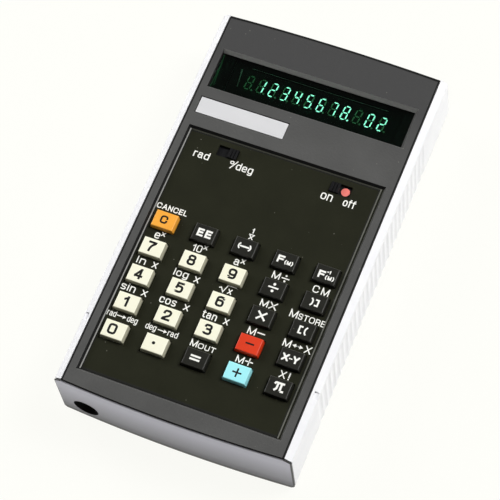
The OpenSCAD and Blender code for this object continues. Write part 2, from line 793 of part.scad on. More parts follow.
module power_mark() {
    color("red") translate([mark_x, switch_y, flange_top - mark_t]) cylinder(d = mark_d, h = mark_t);
}

// Housing of one slide switch on the key board, with the groove for the slider's tongue
module switch_body(x) {
    groove_hl = (tongue_l + switch_travel) / 2 + slide_gap;
    groove_hw = tongue_w / 2 + slide_gap;
    top = switch_body_z + switch_body_h;
    color("#30302e") difference() {
        block([x - slot_l, switch_y - slot_w, switch_body_z], [x + slot_l, switch_y + slot_w, top]);
        block([x - groove_hl, switch_y - groove_hw, top - tongue_h - slide_gap],
            [x + groove_hl, switch_y + groove_hw, top + 1]);
    }
}

module angle_switch() {
    switch_body(-angle_x);
}

module power_switch() {
    switch_body(power_x);
}

module key_mat() {
    edge = 3;
    hollow_d = dome_d - 2 * dome_wall;
    color("#50504c") difference() {
        union() {
            block([keys_x - key_board_hw, row_y(rows - 1) - dome_d / 2 - edge / 2, mat_z],
                [keys_x + key_board_hw, row_y(0) + dome_d / 2 + edge, mat_z + mat_t]);
            for (key = KEYS) translate([column_x(key[1]), row_y(key[2]), mat_z])
                cylinder(d1 = dome_d + mat_t, d2 = stem_d + dome_wall, h = mat_t + dome_h);
        }
        for (key = KEYS) translate([column_x(key[1]), row_y(key[2]), mat_z - eps])
            cylinder(d1 = hollow_d, d2 = stem_d - dome_wall, h = mat_t + dome_h - dome_wall);
        at_studs() translate([0, 0, mat_z - 1]) cylinder(d = stud_d + 2 * slide_gap, h = mat_t + 2);
    }
}

module key_board() {
    color("darkolivegreen") difference() {
        block([keys_x - key_board_hw, key_board_y0, key_board_z],
            [keys_x + key_board_hw, key_board_y1, key_board_z + board_t]);
        at_studs() translate([0, 0, key_board_z - 1])
            cylinder(d = stud_screw_d + 2 * fit_gap, h = board_t + 2);
    }
}

module board_screws() {
    head_h = 1;
    head_d = 2 * stud_screw_d;
    color("silver") at_studs() {
        translate([0, 0, key_board_z - head_h]) cylinder(d = head_d, h = head_h);
        translate([0, 0, key_board_z - eps]) cylinder(d = stud_screw_d - fit_gap, h = board_t + 2);
    }
}

module main_board() {
    peg_hole = peg_d + 2 * fit_gap;
    color("darkolivegreen") difference() {
        block([-main_board_hw, main_board_y0, main_board_z],
            [main_board_hw, main_board_y1, main_board_z + board_t]);
        at_main_board_posts() translate([0, 0, main_board_z - 1]) cylinder(d = peg_hole, h = board_t + 2);
    }
}

module header_pins() {
    color("gold") for (i = [0 : header_count - 1])
        translate([(i - (header_count - 1) / 2) * header_pitch - header_pin / 2,
            main_board_y1 - 3 * header_pin, main_top])
            cube([header_pin, header_pin, key_board_z - main_top]);
}

// Chip package with two rows of legs, standing on the main board
module chip(y, length) {
    legs = floor(length / leg_pitch);
    leg_w = 0.35 * leg_pitch;
    leg_t = 0.2 * leg_pitch;
    stand = 0.3 * leg_pitch;
    translate([-main_board_hw / 4, y, main_top]) {
        translate([-length / 2, -chip_w / 2, stand]) cube([length, chip_w, chip_h]);
        for (i = [0 : legs - 1], side = [-1, 1])
            translate([(i - (legs - 1) / 2) * leg_pitch - leg_w / 2,
                side * (chip_w + leg_t - eps) / 2 - leg_t / 2, 0])
                cube([leg_w, leg_t, stand + chip_h / 2]);
    }
}

module logic_chips() {
    middle = (main_board_y0 + main_board_y1) / 2;
    color("#28282a") {
        chip(middle + 0.8 * chip_w, long_chip_l);
        chip(middle - 0.8 * chip_w, short_chip_l);
    }
}

module capacitors() {
    color("steelblue") for (i = [0 : 2])
        translate([main_board_hw - 1.6 * can_d, main_board_y0 + (2.3 + 1.5 * i) * can_d, main_top])
            cylinder(d = can_d, h = can_h);
}

// Ferrite core with its winding, for the tube's supply
module converter_coil() {
    cheek = 0.22 * core_h;
    color("#4a3a30") translate([main_board_hw - 0.85 * core_d, main_board_y1 - core_d, main_top]) {
        cylinder(d = 0.7 * core_d, h = core_h);
        cylinder(d = core_d, h = cheek);
        translate([0, 0, core_h - cheek]) cylinder(d = core_d, h = cheek);
    }
}

// Contacts of the charger socket: a blade and a pin that go through the back of its cup
module socket_contact_shapes(play) {
    tip = plug_y + contact_setback - play;
    end = plug_y + socket_l + blade_w / 2;
    block([socket_x - contact_offset - blade_w / 2 - play, tip, socket_z - blade_h / 2 - play],
        [socket_x - contact_offset + blade_w / 2 + play, end, socket_z + blade_h / 2 + play]);
    translate([socket_x + contact_offset, tip, socket_z]) rotate([-90, 0, 0])
        cylinder(d = pin_d + 2 * play, h = end - tip);
}

module charger_socket() {
    color("#161616") difference() {
        translate([socket_x, plug_y, socket_z]) rotate([-90, 0, 0]) difference() {
            cylinder(r = cup_r, h = socket_l);
            translate([0, 0, -1]) cylinder(r = cup_r - socket_wall, h = socket_l - socket_back + 1);
        }
        socket_contact_shapes(fit_gap / 2);
    }
}

module socket_contacts() {
    color("gold") {
        socket_contact_shapes(0);
        // Solder tags on the main board
        for (side = [-1, 1])
            block([socket_x + side * contact_offset - blade_w / 2, plug_y + socket_l, main_top],
                [socket_x + side * contact_offset + blade_w / 2, main_board_y0 + tag_l, main_top + tag_t]);
    }
}

// One cell along Y with its button at the rear
module cell() {
    body_l = cell_l - button_h;
    translate([0, -cell_l / 2, 0]) rotate([-90, 0, 0]) {
        cylinder(d = cell_d, h = body_l);
        cylinder(d = button_d, h = cell_l);
    }
}

module battery_cells() {
    color("lightsteelblue") for (i = [0 : cell_count - 1])
        translate([cell_x(i), (bay_y0 + bay_y1) / 2, cell_z]) rotate([0, 0, 180 * (i % 2)]) cell();
}

// Bowed spring strip that stands on the bay's front wall and reaches a cell
module spring_contact() {
    rise = contact_room - fit_gap;
    r = (contact_w * contact_w / 4 + rise * rise) / (2 * rise);
    translate([0, 0, -contact_h / 2]) linear_extrude(contact_h) {
        intersection() {
            translate([0, rise - r]) difference() {
                circle(r);
                circle(r - contact_t);
            }
            translate([-contact_w / 2, 0]) square([contact_w, rise + 1]);
        }
        translate([-contact_w / 2, 0]) square([contact_w, contact_t]);
    }
}

// The end contacts at the front carry solder tags through the bay's front wall
module contact_tags(play) {
    for (i = [0, cell_count - 1])
        block([cell_x(i) - contact_tag_w / 2 - play, main_board_y1 - tag_l, main_top - play],
            [cell_x(i) + contact_tag_w / 2 + play, bay_y0 + contact_t, main_top + contact_t + play]);
}

module battery_contacts() {
    color("silver") {
        for (i = [0 : cell_count - 1]) translate([cell_x(i), 0, cell_z]) {
            translate([0, bay_y0, 0]) spring_contact();
            translate([0, bay_y1, 0]) mirror([0, 1, 0]) spring_contact();
        }
        // Strips that put the cells in series
        for (i = [0 : cell_count - 2])
            translate([cell_x(i), i % 2 == 0 ? bay_y1 - contact_t : bay_y0, cell_z - contact_h / 4])
                cube([cell_pitch, contact_t, contact_h / 2]);
        contact_tags(0);
    }
}

module battery_door() {
    low_hw = door_hw - slide_gap;
    lip_hw = bay_hw - slide_gap;
    grip_w = 24;
    color("whitesmoke") difference() {
        intersection() {
            along_y(bay_y0 + slide_gap, rear_y + far)
                polygon([[-low_hw, under_z], [low_hw, under_z], [low_hw, door_lip_z + slide_gap],
                    [lip_hw, door_lip_z + slide_gap], [lip_hw, floor_z], [-lip_hw, floor_z],
                    [-lip_hw, door_lip_z + slide_gap], [-low_hw, door_lip_z + slide_gap]]);
            before_rear(0);
        }
        for (i = [1 : grip_count])
            block([-grip_w / 2, bay_y0 + 4 + i * grip_pitch, under_z - 1],
                [grip_w / 2, bay_y0 + 4 + i * grip_pitch + grip_pitch / 2, under_z + grip_depth]);
    }
}

module case_screws() {
    color("silver") for (y = post_y) both_sides() translate([post_x, y, 0]) {
        translate([0, 0, screw_seat - screw_head_h]) cylinder(d = screw_head_d, h = screw_head_h);
        translate([0, 0, screw_seat - eps])
            cylinder(d = screw_d - 2 * fit_gap, h = post_top - screw_seat + screw_grip);
    }
}

module rubber_feet() {
    color("#222222") for (y = foot_y) both_sides() translate([post_x, y, 0]) cylinder(d = foot_d, h = foot_t);
}

// Side view of a key cap above the plate: drafted sides and rounded upper edges
module cap_profile(width, draft, below) {
    rise = cap_rise;
    r = cap_edge;
    half = width / 2;
    corner = half - r * cos(draft) - (rise - r + r * sin(draft)) * tan(draft);
    steps = 5;
    arc = [for (i = [0 : steps]) let (a = draft + i * (90 - draft) / steps)
        [corner + r * cos(a), rise - r + r * sin(a)]];
    polygon(concat([[-half, -below], [half, -below], [half, 0]], arc,
        [for (i = [steps : -1 : 0]) [-arc[i][0], arc[i][1]]], [[-half, 0]]));
}

module key(entry) {
    below = plate_top - flange_top;
    w = cap_w / 2 - cap_corner;
    l = cap_l / 2 - cap_corner;
    color(entry[3]) translate([column_x(entry[1]), row_y(entry[2]), 0]) {
        translate([0, 0, plate_top]) intersection() {
            along_y(-cap_l, cap_l) cap_profile(cap_w, cap_side_draft, below);
            along_x(-cap_w, cap_w) cap_profile(cap_l, cap_end_draft, below);
            translate([0, 0, -below]) linear_extrude(below + cap_rise + 1) polygon(concat(
                quarter(w, l, cap_corner, 0), quarter(-w, l, cap_corner, 90),
                quarter(-w, -l, cap_corner, 180), quarter(w, -l, cap_corner, 270)));
        }
        translate([-cap_w / 2 - flange_w, -cap_l / 2 - flange_w, flange_top - flange_t])
            cube([cap_w + 2 * flange_w, cap_l + 2 * flange_w, flange_t]);
        translate([0, 0, stem_z]) cylinder(d = stem_d, h = stem_l + eps);
    }
}

lower_case();
top_cover();
front_panel();
keyboard_plate();
nameplate();
display_filter();
display_glass();
display_base();
display_leads();
angle_slider();
power_slider();
power_mark();
angle_switch();
power_switch();
key_mat();
key_board();
board_screws();
main_board();
header_pins();
logic_chips();
capacitors();
converter_coil();
charger_socket();
socket_contacts();
battery_cells();
battery_contacts();
battery_door();
case_screws();
rubber_feet();
for (entry = KEYS) {
    key(entry);
}
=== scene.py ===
"""Pocket scientific calculator: finishes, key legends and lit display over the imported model."""
import json
import math

import bmesh
import bpy
from mathutils import Euler, Matrix, Vector
from mathutils.geometry import delaunay_2d_cdt


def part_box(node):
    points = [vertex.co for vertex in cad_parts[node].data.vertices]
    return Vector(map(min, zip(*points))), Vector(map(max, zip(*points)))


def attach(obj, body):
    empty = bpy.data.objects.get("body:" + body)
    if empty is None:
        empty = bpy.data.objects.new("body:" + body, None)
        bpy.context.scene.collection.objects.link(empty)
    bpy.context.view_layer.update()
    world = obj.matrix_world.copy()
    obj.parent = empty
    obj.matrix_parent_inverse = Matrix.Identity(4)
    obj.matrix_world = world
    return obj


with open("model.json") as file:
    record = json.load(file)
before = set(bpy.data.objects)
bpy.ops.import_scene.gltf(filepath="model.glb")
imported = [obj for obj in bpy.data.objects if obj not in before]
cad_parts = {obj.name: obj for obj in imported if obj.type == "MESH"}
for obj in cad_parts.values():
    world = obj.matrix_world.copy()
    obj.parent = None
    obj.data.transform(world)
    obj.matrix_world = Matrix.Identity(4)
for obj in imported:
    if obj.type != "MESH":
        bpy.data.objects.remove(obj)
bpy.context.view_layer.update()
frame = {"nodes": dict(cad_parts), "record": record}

MM = 0.001

# Patterns and coats of the skins; sizes in millimetres
CLOUD = 14                      # width of the slow drifts of colour
GRAIN_SHARE = 0.5               # weight of the grain beside them
NOISE = (0.3, 0.7)              # values between which a noise pattern mostly lies
SPECK_STEP = 4                  # distance between specks of dust
SPECK = (0.055, 0.03)           # distances, in steps, at which a speck begins and is full
COAT_FROM = (0, -0.92, 0.39)    # the spray gun stood in front, a little above
COAT_SHARES = (0.89, 0.91)      # shares of that direction between which faces take the coat
COAT_SHADE_HEIGHTS = (3, 22)          # heights between which the coat goes from its low to its high colour: painted shade, darker towards the foot
TURNED = (0.995, 0.9)           # cosines of a softened edge's turn at which the painted edge highlight begins and is full
EDGE_SAMPLES = 4
LINE_DEPTH = 0.004              # depth of drawn lines in metal
WIPE = 9                        # width of wipe marks on clear pieces
POWDER = 0.5                    # width of the lumps in phosphor powder
# How far the gloss varies, as a share of the roughness
UNEVEN_SKIN, UNEVEN_METAL, UNEVEN_FILM = 0.12, 0.25, 0.5


# ---------------------------------------------------------------- finishes

def linear(code):
    """Linear RGBA of an sRGB hex colour."""
    channels = [int(code[i:i + 2], 16) / 255 for i in (1, 3, 5)]
    return tuple(c / 12.92 if c <= 0.04045 else ((c + 0.055) / 1.055) ** 2.4 for c in channels) + (1.0,)


def per_mm(size):
    """Texture scale that makes a pattern's features this many millimetres wide."""
    return 1 / (size * MM)


def add(tree, kind, settings, links):
    """Adds a node to the tree: settings are its properties and socket values, links its sources by socket."""
    node = tree.nodes.new("ShaderNode" + kind)
    for key, value in settings.items():
        if isinstance(key, str) and hasattr(node, key):
            setattr(node, key, value)
        else:
            node.inputs[key].default_value = value
    for key, source in links.items():
        tree.links.new(source, node.inputs[key])
    return node


def surface(name, sockets):
    """New material with these values on its surface shader; gives the material, its tree and the shader."""
    material = bpy.data.materials.new(name)
    material.use_nodes = True
    tree = material.node_tree
    shader = tree.nodes["Principled BSDF"]
    for key, value in sockets.items():
        shader.inputs[key].default_value = value
    return material, tree, shader


def moulded(name, colour, tone, roughness, grain, height, edge, sockets, dust=None, edge_highlight=None, sprayed=None,
            zones=(), bow=0):
    """Moulded, painted or printed skin: slow colour drift to tone, uneven gloss, fine grain, softened edges.

    grain, height and edge are millimetres: the width and depth of the grain and the radius of the edges.
    dust is the colour of sparse specks lying on the skin.
    The edge highlight gives the colour of a painted highlight on the edges and how far in, in millimetres, it
    reaches.
    sprayed is the two colours, low and high, of a coat on the faces that look to the front; the low one is painted
    shade towards the foot.
    zones are other colours, laid over each other in turn. Each gives the colour, a direction, the shares of it
    between which faces take the colour, an axis, and the places along it, in millimetres, between which the colour
    comes in. The axis "bow" is y plus bow times the square of x, so one value of it follows a bowed end.
    """
    material, tree, shader = surface(name, sockets)
    coords = add(tree, "TexCoord", {}, {})
    place = coords.outputs["Object"]
    apart = add(tree, "SeparateXYZ", {}, {"Vector": place}).outputs
    square = add(tree, "Math", {"operation": "MULTIPLY"}, {0: apart["X"], 1: apart["X"]})
    bowed = add(tree, "Math", {"operation": "MULTIPLY_ADD", 1: bow}, {0: square.outputs["Value"], 2: apart["Y"]})
    axes = {"X": apart["X"], "Y": apart["Y"], "Z": apart["Z"], "bow": bowed.outputs["Value"]}
    cloud = add(tree, "TexNoise", {"Scale": per_mm(CLOUD), "Detail": 3}, {"Vector": place})
    fine = add(tree, "TexNoise", {"Scale": per_mm(grain), "Detail": 4, "Roughness": 0.6}, {"Vector": place})
    both = add(tree, "Math", {"operation": "MULTIPLY_ADD", 1: GRAIN_SHARE},
               {0: fine.outputs["Fac"], 2: cloud.outputs["Fac"]})
    drift = add(tree, "MapRange", {"From Min": 0.5, "From Max": 1.0}, {"Value": both.outputs["Value"]})
    skin = add(tree, "Mix", {"data_type": "RGBA", 6: linear(colour), 7: linear(tone)},
               {0: drift.outputs["Result"]}).outputs[2]
    rounded = add(tree, "Bevel", {"samples": EDGE_SAMPLES, "Radius": edge * MM}, {})
    if sprayed:
        facing = add(tree, "VectorMath", {"operation": "DOT_PRODUCT", 1: COAT_FROM}, {0: coords.outputs["Normal"]})
        coat = add(tree, "MapRange", {"From Min": COAT_SHARES[0], "From Max": COAT_SHARES[1]},
                   {"Value": facing.outputs["Value"]})
        # The coat is darker towards the foot: painted shade
        shade_rise = add(tree, "MapRange", {"From Min": COAT_SHADE_HEIGHTS[0] * MM, "From Max": COAT_SHADE_HEIGHTS[1] * MM},
                    {"Value": axes["Z"]})
        paint = add(tree, "Mix", {"data_type": "RGBA", 6: linear(sprayed[0]), 7: linear(sprayed[1])},
                    {0: shade_rise.outputs["Result"]})
        skin = add(tree, "Mix", {"data_type": "RGBA"},
                   {0: coat.outputs["Result"], 6: skin, 7: paint.outputs[2]}).outputs[2]
    # Painted highlight along the softened edges
    if edge_highlight:
        flat = add(tree, "NewGeometry", {}, {})
        wide = add(tree, "Bevel", {"samples": EDGE_SAMPLES, "Radius": edge_highlight[1] * MM}, {})
        turn = add(tree, "VectorMath", {"operation": "DOT_PRODUCT"},
                   {0: wide.outputs["Normal"], 1: flat.outputs["Normal"]})
        highlight_share = add(tree, "MapRange", {"From Min": TURNED[0], "From Max": TURNED[1]},
                   {"Value": turn.outputs["Value"]})
        skin = add(tree, "Mix", {"data_type": "RGBA", 7: linear(edge_highlight[0])},
                   {0: highlight_share.outputs["Result"], 6: skin}).outputs[2]
    for shade, direction, shares, axis, span in zones:
        looks = add(tree, "VectorMath", {"operation": "DOT_PRODUCT", 1: direction}, {0: coords.outputs["Normal"]})
        turned = add(tree, "MapRange", {"From Min": shares[0], "From Max": shares[1]},
                     {"Value": looks.outputs["Value"]})
        within = add(tree, "MapRange", {"From Min": span[0] * MM, "From Max": span[1] * MM},
                     {"Value": axes[axis]})
        share = add(tree, "Math", {"operation": "MULTIPLY"},
                    {0: turned.outputs["Result"], 1: within.outputs["Result"]})
        skin = add(tree, "Mix", {"data_type": "RGBA", 7: linear(shade)},
                   {0: share.outputs["Value"], 6: skin}).outputs[2]
    if dust:
        cells = add(tree, "TexVoronoi", {"Scale": per_mm(SPECK_STEP)}, {"Vector": place})
        speck = add(tree, "MapRange", {"From Min": SPECK[0], "From Max": SPECK[1]},
                    {"Value": cells.outputs["Distance"]})
        skin = add(tree, "Mix", {"data_type": "RGBA", 7: linear(dust)},
                   {0: speck.outputs["Result"], 6: skin}).outputs[2]
    tree.links.new(skin, shader.inputs["Base Color"])
    gloss = add(tree, "MapRange", {"From Min": NOISE[0], "From Max": NOISE[1],
                                   "To Min": roughness * (1 - UNEVEN_SKIN),
                                   "To Max": roughness * (1 + UNEVEN_SKIN)}, {"Value": fine.outputs["Fac"]})
    tree.links.new(gloss.outputs["Result"], shader.inputs["Roughness"])
    bump = add(tree, "Bump", {"Strength": 1.0, "Distance": height * MM},
               {"Height": fine.outputs["Fac"], "Normal": rounded.outputs["Normal"]})
    tree.links.new(bump.outputs["Normal"], shader.inputs["Normal"])
    return material


def metal(name, colour, roughness, along, across, sockets):
    """Bare or plated metal with drawn or brushed lines: along and across are the lines' sizes in millimetres."""
    material, tree, shader = surface(name, {"Base Color": linear(colour), "Metallic": 1.0, **sockets})
    place = add(tree, "TexCoord", {}, {}).outputs["Object"]
    drawn = add(tree, "Mapping", {"Scale": (per_mm(along), per_mm(across), per_mm(across))}, {"Vector": place})
    lines = add(tree, "TexNoise", {"Scale": 1.0, "Detail": 3}, {"Vector": drawn.outputs["Vector"]})
    gloss = add(tree, "MapRange", {"From Min": NOISE[0], "From Max": NOISE[1],
                                   "To Min": roughness * (1 - UNEVEN_METAL),
                                   "To Max": roughness * (1 + UNEVEN_METAL)}, {"Value": lines.outputs["Fac"]})
    tree.links.new(gloss.outputs["Result"], shader.inputs["Roughness"])
    bump = add(tree, "Bump", {"Strength": 0.4, "Distance": LINE_DEPTH * MM}, {"Height": lines.outputs["Fac"]})
    tree.links.new(bump.outputs["Normal"], shader.inputs["Normal"])
    return material


def clear(name, colour, ior, roughness, specular):
    """See-through piece: tinted, with a faint film of wipe marks in its gloss."""
    material, tree, shader = surface(name, {"Base Color": linear(colour), "IOR": ior, "Transmission Weight": 1.0,
                                            "Specular IOR Level": specular})
    place = add(tree, "TexCoord", {}, {}).outputs["Object"]
    film = add(tree, "TexNoise", {"Scale": per_mm(WIPE), "Detail": 4}, {"Vector": place})
    gloss = add(tree, "MapRange", {"From Min": 0.35, "From Max": 0.7,
                                   "To Min": roughness * (1 - UNEVEN_FILM),
                                   "To Max": roughness * (1 + UNEVEN_FILM)}, {"Value": film.outputs["Fac"]})
    tree.links.new(gloss.outputs["Result"], shader.inputs["Roughness"])
    return material


def glowing(name, powder, colour, dim, strength):
    """Phosphor coat, or a painted glow: glows in its own colour, a little uneven where the powder lies thinner."""
    material, tree, shader = surface(name, {"Base Color": linear(powder), "Roughness": 0.8,
                                            "Emission Strength": strength})
    place = add(tree, "TexCoord", {}, {}).outputs["Object"]
    grains = add(tree, "TexNoise", {"Scale": per_mm(POWDER), "Detail": 2}, {"Vector": place})
    coat = add(tree, "Mix", {"data_type": "RGBA", 6: linear(dim), 7: linear(colour)}, {0: grains.outputs["Fac"]})
    tree.links.new(coat.outputs[2], shader.inputs["Emission Color"])
    return material


def sheen(level):
    """Socket value for a skin that mirrors less than the usual 0.5."""
    return {"Specular IOR Level": level}


def both_sides(shade, shares, edge, start, full):
    """Zones of a shade at the right and the left, from start to full millimetres inside an edge at this x."""
    return [(shade, UP, shares, "X", (edge - start, edge - full)),
            (shade, UP, shares, "X", (start - edge, full - edge))]


MATT, SATIN = sheen(0.25), sheen(0.4)
UP, FORWARD, RIGHT = (0, 0, 1), (0, -1, 0), (1, 0, 0)
# Shares of a direction: every face, faces that look along it, walls that lean to it and faces that look beside it
ALL, TOPS, WALLS, SIDES = (-2, -1), (0.5, 0.9), (0.3, 0.6), (0.8, 0.6)
# Shares of up on the end panel: its upper rounding, its flat top and its slanted corners
ROUNDING, FLAT, SLANTED = (0.15, 0.6), (0.9, 0.97), (0.1, 0.3)

# Places that the zones take from the solids: corner, level and bow factor in metres, the rest in millimetres
cover_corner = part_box("top_cover")[1]
cover_edge = cover_corner[0] / MM
cover_level = cover_corner[2] - 0.01 * MM
rear_edge = max(v.co.y for v in frame["nodes"]["top_cover"].data.vertices if v.co.z > cover_level) / MM
REAR_BOW = 1.0                  # how far the ends of the rear edge lie in front of its middle
rear_bow = REAR_BOW * MM / cover_corner[0] ** 2
panel_edge, panel_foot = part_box("front_panel")[1][0] / MM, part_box("front_panel")[0][2] / MM
UPPER = (20, 21)                # heights between which the zones of the panel's upper edge come in
window_middle = (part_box("display_filter")[0][1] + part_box("display_filter")[1][1]) / 2 / MM

FINISHES = {
    # ABS from a polished mould: a cool white skin, faintly mottled, with soft highlights on its flutes
    "case_white": moulded("moulded_white_ABS", "#F9F9FB", "#F2F2F6", 0.45, 0.9, 0.006, 0.25, SATIN),
    # ABS from a spark-eroded mould: a dry grain that breaks up the light on a dark grey skin. The real grain is
    # about 0.1 mm and is drawn coarser so that it shows. Painted shade darkens the skin to the rear, a painted
    # highlight lies on its edges and on the slope behind the window, and painted shade darkens the outer rims and
    # the left and rear walls of recesses.
    "cover_grey": moulded("spark_textured_grey_ABS", "#4F4F4E", "#575756", 0.65, 0.75, 0.1, 0.25, sheen(0.12),
                          dust="#77766F", edge_highlight=("#767673", 0.25), zones=[
                              ("#454545", UP, TOPS, "Y", (38, 60)),
                              ("#A4A4A2", FORWARD, WALLS, "Y", (window_middle, window_middle + 1)),
                              *both_sides("#121212", TOPS, cover_edge, 0.55, 0.35),
                              ("#101010", UP, ALL, "bow", (rear_edge - 0.5, rear_edge - 0.15)),
                              ("#1C1C1C", RIGHT, WALLS, "X", (0, -1)),
                              ("#1C1C1C", FORWARD, WALLS, "Y", (window_middle, window_middle - 1))],
                          bow=rear_bow),
    # ABS sprayed with silver paint on its front: a grey satin face, darker towards the foot as painted shade, a
    # duller grey on its upper rounding, and the black moulding bare on top, at the sides and on the slanted
    # corners, with painted shade as darker bands there and along the foot
    "panel_grey": moulded("silver_sprayed_black_ABS", "#1B1B1C", "#242425", 0.42, 0.25, 0.004, 0.2, SATIN,
                          sprayed=("#82818A", "#D6D5E3"), zones=[
                              ("#A3A2AA", UP, ROUNDING, "Z", UPPER),
                              ("#0E0E0F", UP, FLAT, "Z", UPPER),
                              *both_sides("#161617", SLANTED, cover_edge, 0, -0.3),
                              *both_sides("#161617", ALL, panel_edge, 0.5, 0.3),
                              ("#161617", UP, ALL, "Z", (panel_foot + 7.0, panel_foot - 4.0)),
                              ("#161617", UP, ALL, "Z", (panel_foot + 2.8, panel_foot + 1.6))]),
    # Aluminium sheet under baked black lacquer: smooth, a little brown, with a low even sheen
    "plate_black": moulded("black_lacquered_aluminium", "#1F2015", "#25261A", 0.55, 0.5, 0.003, 0.1, sheen(0.08),
                           dust="#6E6D63"),
    # Aluminium, brushed along its length and anodised under a milky lacquer: fine pale lines
    "nameplate": metal("brushed_anodised_aluminium", "#DCDCDE", 0.5, 12, 0.12, {"Metallic": 0.25}),
    # Cast acrylic sheet, dyed smoky green and polished: dark, clear and mirror smooth
    "filter": clear("smoked_green_acrylic", "#9CC4B0", 1.49, 0.02, 0.1),
    # Soda-lime glass, pressed and fire polished: nearly colourless, faintly green
    "tube_glass": clear("soda_lime_glass", "#E4F2EC", 1.52, 0.015, 0.1),
    # Glass with a printed black ground coat: dark, faintly green
    "tube_base": moulded("black_coated_glass", "#0B0E0D", "#101613", 0.35, 0.6, 0.002, 0.1, MATT),
    # Copper-clad iron wire dipped in tin: bright and slightly wavy
    "plated_wire": metal("tinned_wire", "#C9C9CB", 0.3, 0.4, 0.4, {}),
    # Nylon from a plain mould: black, dull, soft at its edges
    "knob_black": moulded("moulded_black_nylon", "#0C0C0E", "#141416", 0.5, 0.3, 0.008, 0.12, sheen(0.15)),
    # Acetal dyed a bright signal red: even and waxy
    "mark_red": moulded("signal_red_acetal", "#FF8A80", "#FA7A70", 0.35, 0.4, 0.003, 0.05, SATIN),
    # Phenolic pressed with wood flour: dull black with a fine speckle
    "switch_black": moulded("pressed_phenolic", "#161615", "#23211F", 0.6, 0.2, 0.008, 0.1, MATT),
    # Silicone rubber from a blasted mould: grey and matt
    "dome_rubber": moulded("silicone_rubber", "#4C4C4A", "#555452", 0.75, 0.3, 0.01, 0.2, MATT),
    # Paper laminate under green solder lacquer: a shallow weave shows through the gloss
    "board_green": moulded("lacquered_laminate", "#25512A", "#2E5F33", 0.35, 0.7, 0.01, 0.05, SATIN),
    # Zinc-plated steel: bright turned lines
    "plated_steel": metal("zinc_plated_steel", "#C4C5C8", 0.32, 0.3, 0.3, {}),
    # Brass strip, stamped: warm yellow with drawn lines
    "pin_brass": metal("stamped_brass", "#D8B365", 0.3, 1.5, 0.15, {}),
    # Epoxy moulding compound: black, dull and finely speckled
    "chip_black": moulded("epoxy_compound", "#1B1B1C", "#262626", 0.6, 0.15, 0.008, 0.1, MATT),
    # Aluminium can in shrunk vinyl sleeve: blue with a soft gloss
    "capacitor_can": moulded("vinyl_sleeve", "#2F4F86", "#395B94", 0.35, 1.2, 0.006, 0.3, SATIN),
    # Sintered ferrite: nearly black, grainy
    "ferrite": moulded("sintered_ferrite", "#2E2A28", "#3A3431", 0.65, 0.25, 0.02, 0.2, MATT),
    # Steel can in a shrunk film sleeve: pale blue, glossy
    "cell_sleeve": moulded("shrunk_film_sleeve", "#A9B7CC", "#B6C2D4", 0.28, 1.5, 0.006, 0.3, SATIN),
    # Moulded rubber: black and matt, a little dusty
    "foot_rubber": moulded("moulded_black_rubber", "#1B1B1B", "#2A2A29", 0.8, 0.25, 0.02, 0.3, MATT),
    # ABS caps from a polished mould: each colour even, with a soft gloss. The black ones carry a painted highlight
    # on their edges, and the cream ones carry painted shade down their sides.
    "key_black": moulded("moulded_black_ABS", "#1E1E1A", "#262621", 0.36, 0.4, 0.003, 0.14, MATT,
                         dust="#5C5B52", edge_highlight=("#84847E", 0.14)),
    "key_cream": moulded("moulded_cream_ABS", "#FAF9E4", "#F7F5DC", 0.4, 0.4, 0.003, 0.12, SATIN, zones=[
        ("#BDBBA4", UP, SIDES, "Z", (0, 1))]),
    "key_orange": moulded("moulded_orange_ABS", "#FBB041", "#F6A636", 0.4, 0.4, 0.003, 0.12, SATIN),
    "key_red": moulded("moulded_red_ABS", "#DF3C18", "#D63614", 0.4, 0.4, 0.003, 0.12, SATIN),
    "key_blue": moulded("moulded_pale_blue_ABS", "#A9F4FA", "#9FEFF6", 0.4, 0.4, 0.003, 0.12, SATIN),
}

# Screen-printed vinyl ink: flat, opaque, slightly rough where the mesh lifted
white_ink = moulded("screen_printed_white_ink", "#FAFAF4", "#F2F2EC", 0.55, 0.15, 0.004, 0.02, MATT)
black_ink = moulded("screen_printed_black_ink", "#0A0907", "#12110E", 0.5, 0.15, 0.004, 0.02, MATT)
# Lacquer tones for the plate's raised bead: painted highlights, pale on its right and paler on its left, painted
# shade on its rear, and the darkest painted shade on its front and in the creases beside it
lacquer_highlight = moulded("black_lacquer_painted_highlight", "#5C5D54", "#6E6E66", 0.45, 0.5, 0.003, 0.1, SATIN)
bead_highlight = moulded("bead_painted_highlight", "#A6A6A2", "#B4B4B0", 0.4, 0.5, 0.003, 0.1, SATIN)
shaded_lacquer = moulded("shaded_black_lacquer", "#33342B", "#3D3E35", 0.5, 0.5, 0.003, 0.1, MATT)
lacquer_shadow = moulded("black_lacquer_painted_shadow", "#0C0D09", "#12120E", 0.6, 0.5, 0.003, 0.05, MATT)
# Thin card dyed black, dull with a faint felt: painted shade under the ends of the window
shade_card = moulded("black_card_painted_shade", "#0A0C0A", "#10120F", 0.8, 0.2, 0.01, 0.02, MATT)
# Zinc oxide phosphor under electrons: pale blue-green light; and the same powder unlit, with a faint painted glow
lit_phosphor = glowing("lit_zinc_phosphor", "#9FB8AC", "#BDFFF4", "#AFF0E2", 3.3)
unlit_phosphor_glow = glowing("unlit_zinc_phosphor_painted_glow", "#9FB8AC", "#2A6A3C", "#225A32", 0.9)
# Green light that the polished end of the window sheet catches: dim and uneven
edge_light = glowing("lit_acrylic_edge", "#1F3A2C", "#3E8A58", "#1E4A2C", 0.6)
# Tungsten wire sprayed with white oxide: pale, dry and a little lumpy
oxide_wire = moulded("oxide_coated_wire", "#D8E4DC", "#C6D4CA", 0.8, 0.2, 0.01, 0.02, MATT)

for part in frame["record"]["subparts"]:
    mesh = frame["nodes"][part["node"]].data
    mesh.materials.clear()
    mesh.materials.append(FINISHES[part["material_slot"]])


# ---------------------------------------------------------------- lettering

